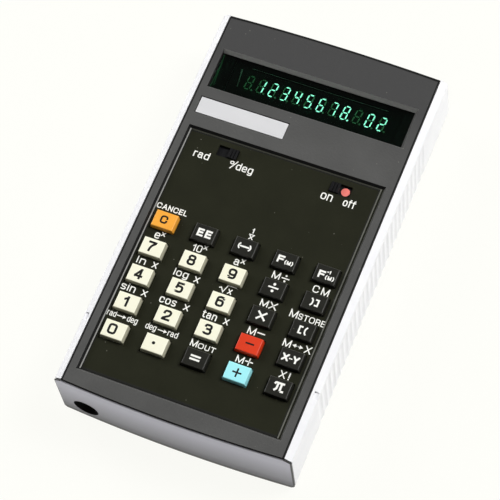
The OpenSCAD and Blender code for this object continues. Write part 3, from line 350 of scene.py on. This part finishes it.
INK = 0.03              # thickness of the printed ink, mm
X, D = 0.73, -0.27      # top of the small letters and foot of their tails, in heights of a capital
GAP = 0.14              # space between two letters, in heights of a capital
CURVE_STEPS = 8         # straight pieces of a rounded corner
DOT_SIDES = 28
MITRE = 0.5             # smallest cosine at a mitred corner; sharper corners are cut short
HEAD_HALF = 0.6         # half the width of an arrow's head, in lengths of the head
SAME = 1e-6             # points of a line nearer than this are one point
TOUCH = 1e-3            # corners of a piece nearer than this, mm, are one corner
SLIVER = 1e-4           # pieces with no more than half this area, mm2, are left out
MERGE = 1e-4            # points of joined pieces nearer than this, mm, become one


def loop(width, low, high):
    """Stroke of a round letter: a closed ring that fills this box."""
    r = width / 2
    return [(r, low), (0, low, r), (0, high, r), (width, high, r), (width, low, r), (r, low)]


# Plain sans-serif letters: width, foot, head, and the strokes of a pen in heights of a capital. A point's third
# number rounds its corner. Sloping strokes run past the foot and head, which cut them level.
BOWL = [(0.54, 0.26), (0.54, 0, 0.26), (0, 0, 0.26), (0, X, 0.26), (0.54, X, 0.26), (0.54, 0.47)]
LETTERS = {
    "a": (0.52, 0, X, [[(0.03, 0.6), (0.03, X, 0.2), (0.46, X, 0.2), (0.46, 0.08), (0.52, 0)],
                       [(0.46, 0.43), (0, 0.41, 0.2), (0, 0, 0.2), (0.46, 0, 0.26), (0.46, 0.24)]]),
    "c": (0.5, 0, X, [[(0.5, 0.53), (0.5, X, 0.25), (0, X, 0.25), (0, 0, 0.25), (0.5, 0, 0.25), (0.5, 0.2)]]),
    "d": (0.54, 0, 1, [BOWL, [(0.54, 0), (0.54, 1)]]),
    "e": (0.52, 0, X, [[(0, 0.37), (0.52, 0.37), (0.52, X, 0.26), (0, X, 0.26), (0, 0, 0.26), (0.52, 0, 0.26),
                        (0.52, 0.13)]]),
    "f": (0.34, 0, 1, [[(0.12, 0), (0.12, 1, 0.2), (0.34, 1)], [(0, X), (0.34, X)]]),
    "g": (0.54, D, X, [BOWL, [(0.54, X), (0.54, D, 0.25), (0, D, 0.25), (0.01, D + 0.1)]]),
    "i": (0, 0, 1, [[(0, 0), (0, X)], [(0, 0.98), (0, 1)]]),
    "l": (0, 0, 1, [[(0, 0), (0, 1)]]),
    "n": (0.5, 0, X, [[(0, 0), (0, X)], [(0, 0.42), (0, X, 0.25), (0.5, X, 0.25), (0.5, 0)]]),
    "o": (0.54, 0, X, [loop(0.54, 0, X)]),
    "r": (0.3, 0, X, [[(0, 0), (0, X)], [(0, 0.4), (0, X, 0.24), (0.3, X)]]),
    "s": (0.46, 0, X, [[(0.46, 0.62), (0.46, X, 0.2), (0, X, 0.2), (0, 0.41, 0.18), (0.46, 0.32, 0.18),
                        (0.46, 0, 0.2), (0, 0, 0.2), (0, 0.11)]]),
    "t": (0.32, 0, 0.95, [[(0.12, 0.95), (0.12, 0, 0.18), (0.32, 0)], [(0, X), (0.32, X)]]),
    "x": (0.5, 0, X, [[(-0.06, -0.09), (0.56, X + 0.09)], [(0.56, -0.09), (-0.06, X + 0.09)]]),
    "A": (0.72, 0, 1, [[(-0.04, -0.1), (0.39, 1.1)], [(0.76, -0.1), (0.33, 1.1)], [(0.14, 0.32), (0.58, 0.32)]]),
    "C": (0.72, 0, 1, [[(0.72, 0.7), (0.72, 1, 0.35), (0, 1, 0.36), (0, 0, 0.36), (0.72, 0, 0.35), (0.72, 0.3)]]),
    "E": (0.54, 0, 1, [[(0.54, 1), (0, 1), (0, 0), (0.54, 0)], [(0, 0.52), (0.48, 0.52)]]),
    "F": (0.5, 0, 1, [[(0.5, 1), (0, 1), (0, 0)], [(0, 0.5), (0.43, 0.5)]]),
    "L": (0.46, 0, 1, [[(0, 1), (0, 0), (0.46, 0)]]),
    "M": (0.78, 0, 1, [[(0, 0), (0, 1)], [(0.78, 0), (0.78, 1)], [(-0.04, 1.1), (0.42, -0.1)],
                       [(0.82, 1.1), (0.36, -0.1)]]),
    "N": (0.64, 0, 1, [[(0, 0), (0, 1)], [(0.64, 0), (0.64, 1)], [(-0.06, 1.1), (0.7, -0.1)]]),
    "O": (0.78, 0, 1, [loop(0.78, 0, 1)]),
    "R": (0.62, 0, 1, [[(0, 0), (0, 1), (0.59, 1, 0.25), (0.59, 0.48, 0.25), (0, 0.48)],
                       [(0.34, 0.48), (0.58, 0.46, 0.16), (0.6, 0)]]),
    "S": (0.6, 0, 1, [[(0.59, 0.74), (0.59, 1, 0.27), (0.01, 1, 0.27), (0.01, 0.55, 0.22), (0.6, 0.46, 0.22),
                       (0.6, 0, 0.27), (0, 0, 0.27), (0, 0.26)]]),
    "T": (0.62, 0, 1, [[(0, 1), (0.62, 1)], [(0.31, 0), (0.31, 1)]]),
    "U": (0.64, 0, 1, [[(0, 1), (0, 0, 0.32), (0.64, 0, 0.32), (0.64, 1)]]),
    "X": (0.64, 0, 1, [[(-0.06, -0.1), (0.7, 1.1)], [(0.7, -0.1), (-0.06, 1.1)]]),
    "Y": (0.64, 0, 1, [[(-0.06, 1.1), (0.32, 0.42), (0.7, 1.1)], [(0.32, 0.42), (0.32, 0)]]),
    "0": (0.56, 0, 1, [loop(0.56, 0, 1)]),
    "1": (0.24, 0, 1, [[(0, 0.74), (0.24, 0.92)], [(0.24, 0), (0.24, 1)]]),
    "2": (0.54, 0, 1, [[(0, 0.74), (0, 1, 0.27), (0.54, 1, 0.27), (0.54, 0.55, 0.24), (0.02, 0.13, 0.1), (0.01, 0)],
                       [(0, 0), (0.54, 0)]]),
    "3": (0.54, 0, 1, [[(0.01, 0.84), (0.01, 1, 0.26), (0.51, 1, 0.25), (0.51, 0.54, 0.2), (0.2, 0.54)],
                       [(0.2, 0.54), (0.54, 0.54, 0.25), (0.54, 0, 0.27), (0, 0, 0.27), (0, 0.16)]]),
    "4": (0.6, 0, 1, [[(0.6, 0.24), (0.0, 0.24)], [(-0.02, 0.22), (0.44, 1.02)], [(0.44, 1), (0.44, 0)]]),
    "5": (0.54, 0, 1, [[(0.5, 1), (0.08, 1), (0.03, 0.47)],
                       [(0.03, 0.5), (0.12, 0.65, 0.12), (0.54, 0.65, 0.28), (0.54, 0, 0.3), (0, 0, 0.27),
                        (0, 0.14)]]),
    "6": (0.54, 0, 1, [[(0.52, 0.87), (0.52, 1, 0.24), (0, 1, 0.3), (0, 0, 0.27), (0.54, 0, 0.27),
                        (0.54, 0.61, 0.27), (0, 0.61, 0.27), (0, 0.3)]]),
    "7": (0.54, 0, 1, [[(0, 1), (0.54, 1)], [(0.54, 1), (0.54, 0.93), (0.2, 0.5, 0.3), (0.16, 0)]]),
    "8": (0.56, 0, 1, [[(0.28, 0.54), (0.03, 0.54, 0.23), (0.03, 1, 0.24), (0.53, 1, 0.24), (0.53, 0.54, 0.23),
                        (0.28, 0.54)], loop(0.56, 0, 0.54)]),
    "9": (0.54, 0, 1, [[(0.02, 0.13), (0.02, 0, 0.24), (0.54, 0, 0.3), (0.54, 1, 0.27), (0, 1, 0.27),
                        (0, 0.39, 0.27), (0.54, 0.39, 0.27), (0.54, 0.7)]]),
    "!": (0, 0, 1, [[(0, 0.3), (0, 1)], [(0, 0), (0, 0.02)]]),
    "(": (0.2, -0.2, 1.2, [[(0.2, 1.14), (0, 0.8, 0.4), (0, 0.2, 0.4), (0.2, -0.14)]]),
    ")": (0.2, -0.2, 1.2, [[(0, 1.14), (0.2, 0.8, 0.4), (0.2, 0.2, 0.4), (0, -0.14)]]),
    "°": (0.3, 0.6, 1, [loop(0.3, 0.66, 1)]),
}


def bent(points):
    """The points as a line with its corners rounded where they carry a third number."""
    line = [Vector(points[0][:2])]
    for before, corner, after in zip(points, points[1:], points[2:]):
        here = Vector(corner[:2])
        if len(corner) == 2:
            line.append(here)
            continue
        arc_ends = []
        for other in (before, after):
            arm = Vector(other[:2]) - here
            room = arm.length * (1 if len(other) == 2 else 0.5)
            arc_ends.append(here + arm.normalized() * min(corner[2], room))
        start, end = arc_ends
        for i in range(CURVE_STEPS + 1):
            s = i / CURVE_STEPS
            point = start * (1 - s) ** 2 + here * 2 * s * (1 - s) + end * s ** 2
            if (point - line[-1]).length > SAME:
                line.append(point)
    line.append(Vector(points[-1][:2]))
    return line


def stroke(points, width, cap=0.5):
    """Four-sided pieces of a pen line along the points, mitred at its corners, its ends longer by cap widths."""
    line = bent(points)
    steps = [(b - a).normalized() for a, b in zip(line, line[1:])]
    line[0] = line[0] - steps[0] * width * cap
    line[-1] = line[-1] + steps[-1] * width * cap
    sides = []
    for before, after in zip([steps[0]] + steps, steps + [steps[-1]]):
        normal = Vector((-before.y - after.y, before.x + after.x)).normalized()
        sides.append(normal * width / 2 / max(normal.dot(Vector((-before.y, before.x))), MITRE))
    return [[a + m, a - m, b - n, b + n] for a, b, m, n in zip(line, line[1:], sides, sides[1:])]


def dot(x, y, radius):
    """A round dot."""
    turns = [math.tau * i / DOT_SIDES for i in range(DOT_SIDES)]
    return [[Vector((x + radius * math.cos(a), y + radius * math.sin(a))) for a in turns]]


def arrow(tail, tip, y, width, head):
    """An arrow along x at height y, with a solid head of this length."""
    back, half = math.copysign(head, tail - tip), head * HEAD_HALF
    return (stroke([(tail, y), (tip + back / 2, y)], width, 0)
            + [[Vector((tip, y)), Vector((tip + back, y + half)), Vector((tip + back, y - half))]])


def cut_level(piece, axis, limit, keep):
    """The part of a piece that lies on one side of a level: keep is 1 for above it, -1 for below."""
    kept = []
    for a, b in zip(piece, piece[1:] + piece[:1]):
        da, db = keep * (a[axis] - limit), keep * (b[axis] - limit)
        if da >= 0:
            kept.append(a)
        if da * db < 0:
            kept.append(a.lerp(b, da / (da - db)))
    return kept


def word(text, x0, x1, base, tall, pen):
    """Pieces of a word between x0 and x1 on its baseline, with capitals this tall, from a pen this wide."""
    widths = [LETTERS[letter][0] for letter in text]
    rise = tall - pen
    natural = sum(widths) + (GAP + pen / rise) * (len(text) - 1)
    spread = (x1 - x0 - pen) / natural if natural else 0
    pieces, at = [], 0
    for letter, width in zip(text, widths):
        low, high, lines = LETTERS[letter][1:]
        box = [(0, x0 + at * spread, 1), (0, x0 + pen + (at + width) * spread, -1),
               (1, base + low * rise, 1), (1, base + pen + high * rise, -1)]
        for line in lines:
            placed = [(x0 + pen / 2 + (at + p[0]) * spread, base + pen / 2 + p[1] * rise,
                       *(r * rise for r in p[2:])) for p in line]
            for piece in stroke(placed, pen):
                for axis, limit, keep in box:
                    piece = cut_level(piece, axis, limit, keep)
                if len(piece) > 2:
                    pieces.append(piece)
        at += width + GAP + pen / rise
    return pieces


def covers(piece, point):
    """Whether a point lies in a piece whose corners run anticlockwise."""
    return all((b - a).cross(point - a) >= 0 for a, b in zip(piece, piece[1:] + piece[:1]))


def printed(name, body, at, ink, groups, thickness=INK):
    """A thin layer of ink in the joined outline of each group of pieces, in millimetres from the point at."""
    sheet = bmesh.new()
    for pieces in groups:
        corners, faces, kept = [], [], []
        for piece in pieces:
            piece = [a for a, b in zip(piece, piece[1:] + piece[:1]) if (a - b).length > TOUCH]
            twice_area = sum(a.x * b.y - b.x * a.y for a, b in zip(piece, piece[1:] + piece[:1]))
            if abs(twice_area) > SLIVER:
                kept.append(piece if twice_area > 0 else piece[::-1])
                faces.append(list(range(len(corners), len(corners) + len(piece))))
                corners += kept[-1]
        verts, _, joined, _, _, sources = delaunay_2d_cdt(corners, [], faces, 1, MERGE)
        points = [sheet.verts.new((v.x, v.y, 0)) for v in verts]
        for corner, source in zip(joined, sources):
            middle = sum((verts[i] for i in corner), Vector((0, 0))) / len(corner)
            if any(covers(piece, middle) for piece in [kept[i] for i in source] + kept):
                sheet.faces.new([points[i] for i in corner])
    bmesh.ops.delete(sheet, geom=[v for v in sheet.verts if not v.link_faces], context="VERTS")
    bmesh.ops.dissolve_limit(sheet, angle_limit=0.001, verts=sheet.verts[:], edges=sheet.edges[:])
    raised = bmesh.ops.extrude_face_region(sheet, geom=sheet.faces[:])["geom"]
    upper = [v for v in raised if isinstance(v, bmesh.types.BMVert)]
    bmesh.ops.translate(sheet, verts=upper, vec=(0, 0, thickness))
    bmesh.ops.recalc_face_normals(sheet, faces=sheet.faces[:])
    sheet.transform(Matrix.Translation(Vector(at)) @ Matrix.Diagonal((MM, MM, MM, 1)))
    mesh = bpy.data.meshes.new(name)
    sheet.to_mesh(mesh)
    sheet.free()
    mesh.materials.append(ink)
    piece = bpy.data.objects.new(name, mesh)
    bpy.context.scene.collection.objects.link(piece)
    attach(piece, body)


# Words on the keyboard plate, in millimetres from its middle: text, left, right, baseline, height of a capital, pen
plate_words = [
    ("rad", -31.6, -25.7, 38.9, 3.0, 0.42), ("°", -18.0, -16.5, 38.6, 3.2, 0.38),
    ("deg", -15.4, -9.1, 38.9, 3.0, 0.42),
    ("on", 16.6, 20.9, 38.5, 3.45, 0.42), ("off", 24.9, 29.4, 38.5, 3.1, 0.42),
    ("CANCEL", -35.8, -24.4, 15.9, 2.15, 0.38),
    ("1", -0.6, 0.05, 17.9, 1.95, 0.36), ("x", -0.95, 0.65, 15.4, 2.2, 0.36),
    ("e", -32.0, -30.1, 4.7, 3.0, 0.4), ("x", -29.9, -28.4, 6.1, 2.2, 0.36),
    ("10", -17.8, -14.3, 4.7, 2.8, 0.4), ("x", -14.1, -12.6, 6.4, 2.1, 0.36),
    ("a", -2.25, -0.3, 4.7, 3.0, 0.4), ("x", 0.0, 1.6, 5.9, 2.3, 0.36),
    ("M", 12.0, 14.8, 4.6, 2.8, 0.4), ("C", 26.9, 29.2, 4.4, 2.8, 0.4), ("M", 30.1, 32.8, 4.4, 2.8, 0.4),
    ("ln", -34.1, -30.8, -6.1, 2.7, 0.4), ("x", -28.3, -26.4, -6.1, 3.0, 0.4),
    ("log", -20.2, -14.9, -6.0, 2.8, 0.4), ("x", -12.6, -10.7, -6.2, 3.0, 0.4),
    ("x", 0.0, 1.5, -6.3, 2.5, 0.38),
    ("M", 12.0, 14.8, -6.4, 2.6, 0.4),
    ("M", 22.9, 25.7, -6.7, 2.9, 0.4), ("STORE", 26.0, 35.75, -6.7, 2.3, 0.34),
    ("sin", -35.3, -30.0, -17.1, 2.9, 0.42), ("x", -27.6, -25.6, -17.1, 3.0, 0.4),
    ("cos", -20.9, -14.8, -17.1, 3.0, 0.42), ("x", -11.9, -10.0, -17.1, 3.0, 0.4),
    ("tan", -5.0, 0.3, -17.2, 2.9, 0.42), ("x", 2.9, 4.7, -17.2, 3.0, 0.4),
    ("M", 11.8, 14.7, -17.45, 2.75, 0.4),
    ("M", 24.7, 27.5, -17.5, 2.8, 0.4), ("X", 32.5, 34.8, -17.5, 2.8, 0.4),
    ("rad", -35.85, -32.5, -27.6, 2.3, 0.3), ("deg", -28.4, -24.6, -27.6, 2.3, 0.3),
    ("deg", -21.5, -17.6, -27.7, 2.3, 0.3), ("rad", -13.3, -9.6, -27.7, 2.3, 0.3),
    ("M", -4.7, -2.2, -28.3, 2.6, 0.4), ("OUT", -1.9, 4.4, -28.3, 2.0, 0.34),
    ("M", 12.0, 14.8, -28.4, 2.6, 0.4), ("X", 27.8, 30.0, -28.6, 2.7, 0.4), ("!", 31.0, 31.6, -28.6, 2.7, 0.44),
]
# Signs beside and over the words: bars, dots, crosses, a root and arrows
plate_signs = [
    stroke([(-17.3, 38.9), (-15.5, 42.0)], 0.38), stroke([(-1.2, 17.3), (0.9, 17.3)], 0.34, 0),
    stroke([(15.4, 5.8), (18.2, 5.8)], 0.42, 0), dot(16.8, 6.85, 0.38), dot(16.8, 4.75, 0.38),
    stroke([(-3.2, -4.9), (-2.6, -4.6), (-1.6, -6.2), (-0.6, -3.3), (2.3, -3.3)], 0.36),
    stroke([(15.5, -6.3), (17.8, -4.0)], 0.44), stroke([(15.5, -4.0), (17.8, -6.3)], 0.44),
    stroke([(15.2, -16.0), (18.0, -16.0)], 0.44, 0),
    stroke([(15.2, -27.0), (18.0, -27.0)], 0.42, 0), stroke([(16.6, -28.4), (16.6, -25.6)], 0.42, 0),
]
for tail, tip, y in ((-32.3, -28.8, -26.6), (-17.0, -13.6, -26.7), (29.6, 31.8, -16.1), (30.2, 28.0, -16.1)):
    plate_signs.append(arrow(tail, tip, y, 0.36, 1.2))

low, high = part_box("keyboard_plate")
plate_middle = (0, (low[1] + high[1]) / 2, high[2])
printed("plate_lettering", "case", plate_middle, white_ink, [word(*entry) for entry in plate_words] + plate_signs)

# Raised bead round the plate, with painted shadow in a crease along each side of it; sizes in millimetres
x0, x1, y0, y1 = -36.28, 35.65, -48.75, 48.8
BEAD, BEAD_RISE = 0.4, 0.15
# Each stretch of the bead takes its own painted highlight or painted shade
for name, ink, start, end in (("left", bead_highlight, (x0, y0), (x0, y1)),
                              ("right", lacquer_highlight, (x1, y0), (x1, y1)),
                              ("rear", shaded_lacquer, (x0 + BEAD, y1), (x1 - BEAD, y1)),
                              ("front", lacquer_shadow, (x0 + BEAD, y0), (x1 - BEAD, y0))):
    printed("plate_bead_" + name, "case", plate_middle, ink, [stroke([start, end], BEAD)], BEAD_RISE)
# Painted shadow in the creases, from the middle of the bead: all round inside it, and outside it at the ends and at
# the right
INSIDE, OUTSIDE, BESIDE = 0.45, 0.3, 0.4
INNER_W, OUTER_W, CREASE_T = 0.35, 0.2, 0.02
inner = [(x0 + INSIDE, y0 + INSIDE), (x1 - INSIDE, y0 + INSIDE), (x1 - INSIDE, y1 - INSIDE),
         (x0 + INSIDE, y1 - INSIDE)]
outer = [(x0, y0 - OUTSIDE), (x1 + BESIDE, y0 - OUTSIDE), (x1 + BESIDE, y1 + OUTSIDE), (x0, y1 + OUTSIDE)]
printed("plate_bead_crease_shadows", "case", plate_middle, lacquer_shadow,
        [stroke(inner + inner[:1], INNER_W), stroke(outer, OUTER_W)], CREASE_T)

# Legends of the keys, in millimetres from the middle of each cap
DIGIT_MIDDLES = {"0": -0.7, "1": -0.45, "2": -0.2, "3": -0.1, "4": -0.3, "5": -0.2, "6": -0.15, "7": -0.3,
                 "8": -0.25, "9": -0.1}
DIGIT_HALF, ODD_HALVES = 1.5, {"0": 1.6, "1": 0.9}      # half the width of a digit, and of those that differ
DIGIT_FOOT, DIGIT_TALL = -1.9, 4.0
PEN, FAT, THIN = 0.8, 0.68, 0.38        # pens of the digits, of the white letters and of the small ones beside them
legends = {
    "key_clear": (black_ink, word("C", -1.6, 1.1, -1.45, 3.15, 0.64)),
    "key_exponent": (white_ink, word("EE", -2.6, 2.7, -1.5, 3.0, 0.72)),
    "key_sign": (white_ink, stroke([(-1.8, 0.9), (-2.2, 0.4, 0.4), (-2.2, -0.4, 0.4), (-1.8, -0.9)], 0.5)
                 + stroke([(-1.8, 0), (1.8, 0)], 0.62, 0)
                 + stroke([(1.8, 0.9), (2.2, 0.4, 0.4), (2.2, -0.4, 0.4), (1.8, -0.9)], 0.5)),
    "key_memory": (white_ink, word("F", -2.8, -0.3, -1.3, 2.8, FAT) + word("(M)", 0.0, 3.1, -1.3, 1.45, THIN)),
    "key_inverse": (white_ink, word("F", -2.6, -0.2, -1.85, 2.8, FAT) + word("(M)", 0.1, 3.3, -1.85, 1.45, THIN)
                    + stroke([(0.1, 0.95), (0.7, 0.95)], 0.36, 0) + word("1", 0.85, 1.45, 0.35, 1.25, 0.36)),
    "key_divide": (white_ink, stroke([(-1.85, 0.15), (1.8, 0.15)], 0.55, 0)
                   + dot(0, 1.45, 0.5) + dot(0, -1.15, 0.5)),
    "key_close": (white_ink, stroke([(-1.0, 1.0), (-0.55, 0.5, 0.5), (-0.55, -0.9, 0.5), (-1.0, -1.4)], 0.55)
                  + stroke([(0.3, 0.9), (1.4, 0.9), (1.4, -1.25), (0.3, -1.25)], 0.6, 0)),
    "key_multiply": (white_ink, stroke([(-1.25, -1.25), (1.4, 1.3)], FAT)
                     + stroke([(-1.25, 1.3), (1.4, -1.25)], FAT)),
    "key_open": (white_ink, stroke([(-0.05, 1.05), (-1.15, 1.05), (-1.15, -1.35), (-0.05, -1.35)], 0.6, 0)
                 + stroke([(1.35, 1.1), (0.9, 0.5, 0.5), (0.9, -0.9, 0.5), (1.35, -1.4)], 0.55)),
    "key_subtract": (black_ink, stroke([(-1.35, 0.15), (1.75, 0.15)], 0.6, 0)),
    "key_exchange": (white_ink, word("X", -3.0, -0.6, -1.45, 2.7, FAT) + word("Y", 0.8, 3.1, -1.45, 2.7, FAT)
                     + arrow(0.1, 0.85, -0.15, 0.3, 0.55) + arrow(0.1, -0.65, -0.15, 0.3, 0.55)),
    "key_point": (black_ink, dot(-0.5, 0.2, 0.58)),
    "key_equals": (white_ink, stroke([(-1.95, 0.58), (1.65, 0.58)], 0.7, 0)
                   + stroke([(-1.95, -0.65), (1.65, -0.65)], 0.7, 0)),
    "key_add": (black_ink, stroke([(-1.6, 0), (1.65, 0)], 0.58, 0) + stroke([(0.03, -1.65), (0.03, 1.6)], 0.58, 0)),
    "key_pi": (white_ink, stroke([(-1.5, 1.0), (-1.3, 1.45, 0.3), (1.55, 1.45)], 0.74, 0.3)
               + stroke([(-0.45, 1.45), (-0.5, -0.7, 0.4), (-1.1, -1.35)], 0.74, 0.3)
               + stroke([(0.8, 1.45), (0.8, -1.35, 0.5), (1.9, -1.3)], 0.74, 0.3)),
}
for text, middle in DIGIT_MIDDLES.items():
    half = ODD_HALVES.get(text, DIGIT_HALF)
    legends["key_" + text] = (black_ink, word(text, middle - half, middle + half, DIGIT_FOOT, DIGIT_TALL, PEN))

for key, (ink, pieces) in legends.items():
    low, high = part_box(key)
    cap_middle = ((low[0] + high[0]) / 2, (low[1] + high[1]) / 2, high[2])
    printed(key + "_legend", key + "_body", cap_middle, ink, [pieces])


# ---------------------------------------------------------------- display

SEGMENTS = {"0": "abcdef", "1": "bc", "2": "abged", "3": "abgcd", "4": "fgbc", "5": "afgcd", "6": "afgecd",
            "7": "abc", "8": "abcdefg", " ": ""}
SHOWN = " 12345678 02"
DIGIT_W, DIGIT_H, DIGIT_STEP = 2.45, 5.8, 4.61      # size of a digit and distance between two, mm
FIRST_X, BASE_Y = -26.2, -2.25                      # foot of the first digit, from the middle of the tube, mm
LEAN, BAR, SPACE = 0.095, 0.44, 0.23                # slant; width of a segment and room at its ends, mm
POINT, POINT_X, POINT_Y = 0.36, 0.75, 0.3           # radius of a decimal point and its place after the digit, mm
WIRES_UP, WIRE_T = 0.6, 0.05                        # height of the wires over the segments and thickness, mm


def bar(ends, place):
    """One display segment between two corners of its digit, pointed at both ends and leaning to the right."""
    a, b = [Vector(end) for end in ends]
    along = (b - a).normalized()
    side, tip = Vector((-along.y, along.x)) * BAR / 2, along * BAR / 2
    a, b = a + along * SPACE, b - along * SPACE
    shape = [a, a + tip + side, b - tip + side, b, b - tip - side, a + tip - side]
    return [Vector((place + p.x + LEAN * p.y, BASE_Y + p.y)) for p in shape]


left, right, bottom, centre, top = BAR / 2, DIGIT_W - BAR / 2, BAR / 2, DIGIT_H / 2, DIGIT_H - BAR / 2
CORNERS = {"a": ((left, top), (right, top)), "b": ((right, centre), (right, top)),
           "c": ((right, bottom), (right, centre)), "d": ((left, bottom), (right, bottom)),
           "e": ((left, bottom), (left, centre)), "f": ((left, centre), (left, top)),
           "g": ((left, centre), (right, centre))}
lit, unlit = [], []
for i, text in enumerate(SHOWN):
    place = FIRST_X + i * DIGIT_STEP
    for name, ends in CORNERS.items():
        (lit if name in SEGMENTS[text] else unlit).append(bar(ends, place))
    (lit if text == "8" else unlit).extend(dot(place + DIGIT_W + POINT_X, BASE_Y + POINT_Y, POINT))

low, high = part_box("display_base")
tube_middle = Vector((0, (low[1] + high[1]) / 2, high[2]))
printed("lit_segments", "case", tube_middle, lit_phosphor, [lit])
printed("unlit_segments", "case", tube_middle, unlit_phosphor_glow, [unlit])
# Wires of the tube: a leaning support at its left end and one long wire behind the digits
wires = [stroke([(-28.2, -2.4), (-29.0, 4.4)], 0.34) + stroke([(-28.85, 3.2), (-29.0, 4.4)], 0.6),
         stroke([(-25.5, 6.1), (26.5, 6.1)], 0.18)]
printed("display_wires", "case", tube_middle + Vector((0, 0, WIRES_UP * MM)), oxide_wire, wires, WIRE_T)

# Black card on the ends of the tube and beside it, as painted shade under the ends of the window; sizes in
# millimetres
CARD_UP, CARD_T, CARD_INSET, CARD_LAP = 0.05, 0.1, 0.3, 0.4
low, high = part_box("display_filter")
glass_low, glass_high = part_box("display_glass")
y0, y1 = low[1] / MM, high[1] / MM
card_ends = [(low[0] / MM + CARD_INSET, glass_low[0] / MM + CARD_LAP),
             (glass_high[0] / MM - CARD_LAP, high[0] / MM - CARD_INSET)]
printed("display_mask", "case", (0, 0, glass_high[2] + CARD_UP * MM), shade_card,
        [[[Vector(p) for p in ((x0, y0), (x1, y0), (x1, y1), (x0, y1))]] for x0, x1 in card_ends], CARD_T)
# Light caught in the left end of the window sheet
card_top = glass_high[2] + (CARD_UP + CARD_T) * MM
printed("window_end_lights", "case", (0, (low[1] + high[1]) / 2, card_top), edge_light,
        [stroke([(-36.9, 7.2), (-36.0, -5.6)], 0.2), stroke([(-36.6, 3.8), (-36.9, -6.2)], 0.16)])


# ---------------------------------------------------------------- stage

# Paper sweep: flat round the object, rising into a backdrop far behind it on every side
SWEEP = [(4.0, 0.0), (4.6, 0.1), (5.0, 0.4), (5.2, 1.0), (5.2, 3.5)]     # radius and height, metres
SWEEP_SIDES = 64
sweep = bmesh.new()
turns = [math.tau * i / SWEEP_SIDES for i in range(SWEEP_SIDES)]
rings = [[sweep.verts.new((radius * math.cos(a), radius * math.sin(a), height)) for a in turns]
         for radius, height in SWEEP]
sweep.faces.new(rings[0])
for ring, wider in zip(rings, rings[1:]):
    for i in range(SWEEP_SIDES):
        sweep.faces.new([ring[i - 1], wider[i - 1], wider[i], ring[i]])
floor_mesh = bpy.data.meshes.new("floor")
sweep.to_mesh(floor_mesh)
sweep.free()
floor = bpy.data.objects.new("floor", floor_mesh)
bpy.context.scene.collection.objects.link(floor)

# Matt paper: the eye and every mirror-like surface see it nearly white, and it keeps a soft shadow
GLOW = 0.94             # share of plain white in what they see
paper, tree, shader = surface("matt_white_paper", {"Base Color": linear("#F2F2EE"), "Roughness": 0.9})
seen = add(tree, "LightPath", {}, {})
mirrored = add(tree, "Math", {"operation": "MAXIMUM"}, {0: seen.outputs["Is Glossy Ray"],
                                                       1: seen.outputs["Is Transmission Ray"]})
direct = add(tree, "Math", {"operation": "MAXIMUM"},
             {0: mirrored.outputs["Value"], 1: seen.outputs["Is Camera Ray"]})
share = add(tree, "Math", {"operation": "MULTIPLY", 1: GLOW}, {0: direct.outputs["Value"]})
white = add(tree, "Emission", {"Color": linear("#FFFFFA"), "Strength": 1.0}, {})
blend = add(tree, "MixShader", {},
            {0: share.outputs["Value"], 1: shader.outputs["BSDF"], 2: white.outputs["Emission"]})
tree.links.new(blend.outputs["Shader"], tree.nodes["Material Output"].inputs["Surface"])
floor_mesh.materials.append(paper)

# Dim room light from all round
world = bpy.data.worlds.new("studio")
bpy.context.scene.world = world
world.use_nodes = True
world.node_tree.nodes["Background"].inputs["Color"].default_value = linear("#FFFFFC")
world.node_tree.nodes["Background"].inputs["Strength"].default_value = 0.04


def lamp(name, place, aim, width, power):
    """Square soft box at place, in metres, turned to the point aim."""
    light = bpy.data.lights.new(name, "AREA")
    light.size = width
    light.energy = power
    holder = bpy.data.objects.new(name, light)
    holder.location = place
    holder.rotation_euler = (Vector(aim) - Vector(place)).to_track_quat("-Z", "Y").to_euler()
    bpy.context.scene.collection.objects.link(holder)


# The stronger soft box stands behind on the right, the weaker one on the left
AIM = (0, 0, 0.02)
lamp("soft_box_rear_right", (1.1, 0.84, 1.7), AIM, 1.0, 46.0)
lamp("soft_box_left", (-1.5, 0.5, 0.9), AIM, 1.0, 20.0)

# Camera fitted to the corners of the case in the photo
view = bpy.data.cameras.new("camera")
view.sensor_width = 36
view.lens = 149.69
view.clip_start = 0.05
camera = bpy.data.objects.new("camera", view)
camera.location = (0.15855, -0.276995, 0.67093)
camera.rotation_euler = Euler([math.radians(a) for a in (25.3819, 4.0504, 21.9813)], "XYZ")
bpy.context.scene.collection.objects.link(camera)
bpy.context.scene.camera = camera
bpy.context.scene.view_settings.view_transform = "Standard"
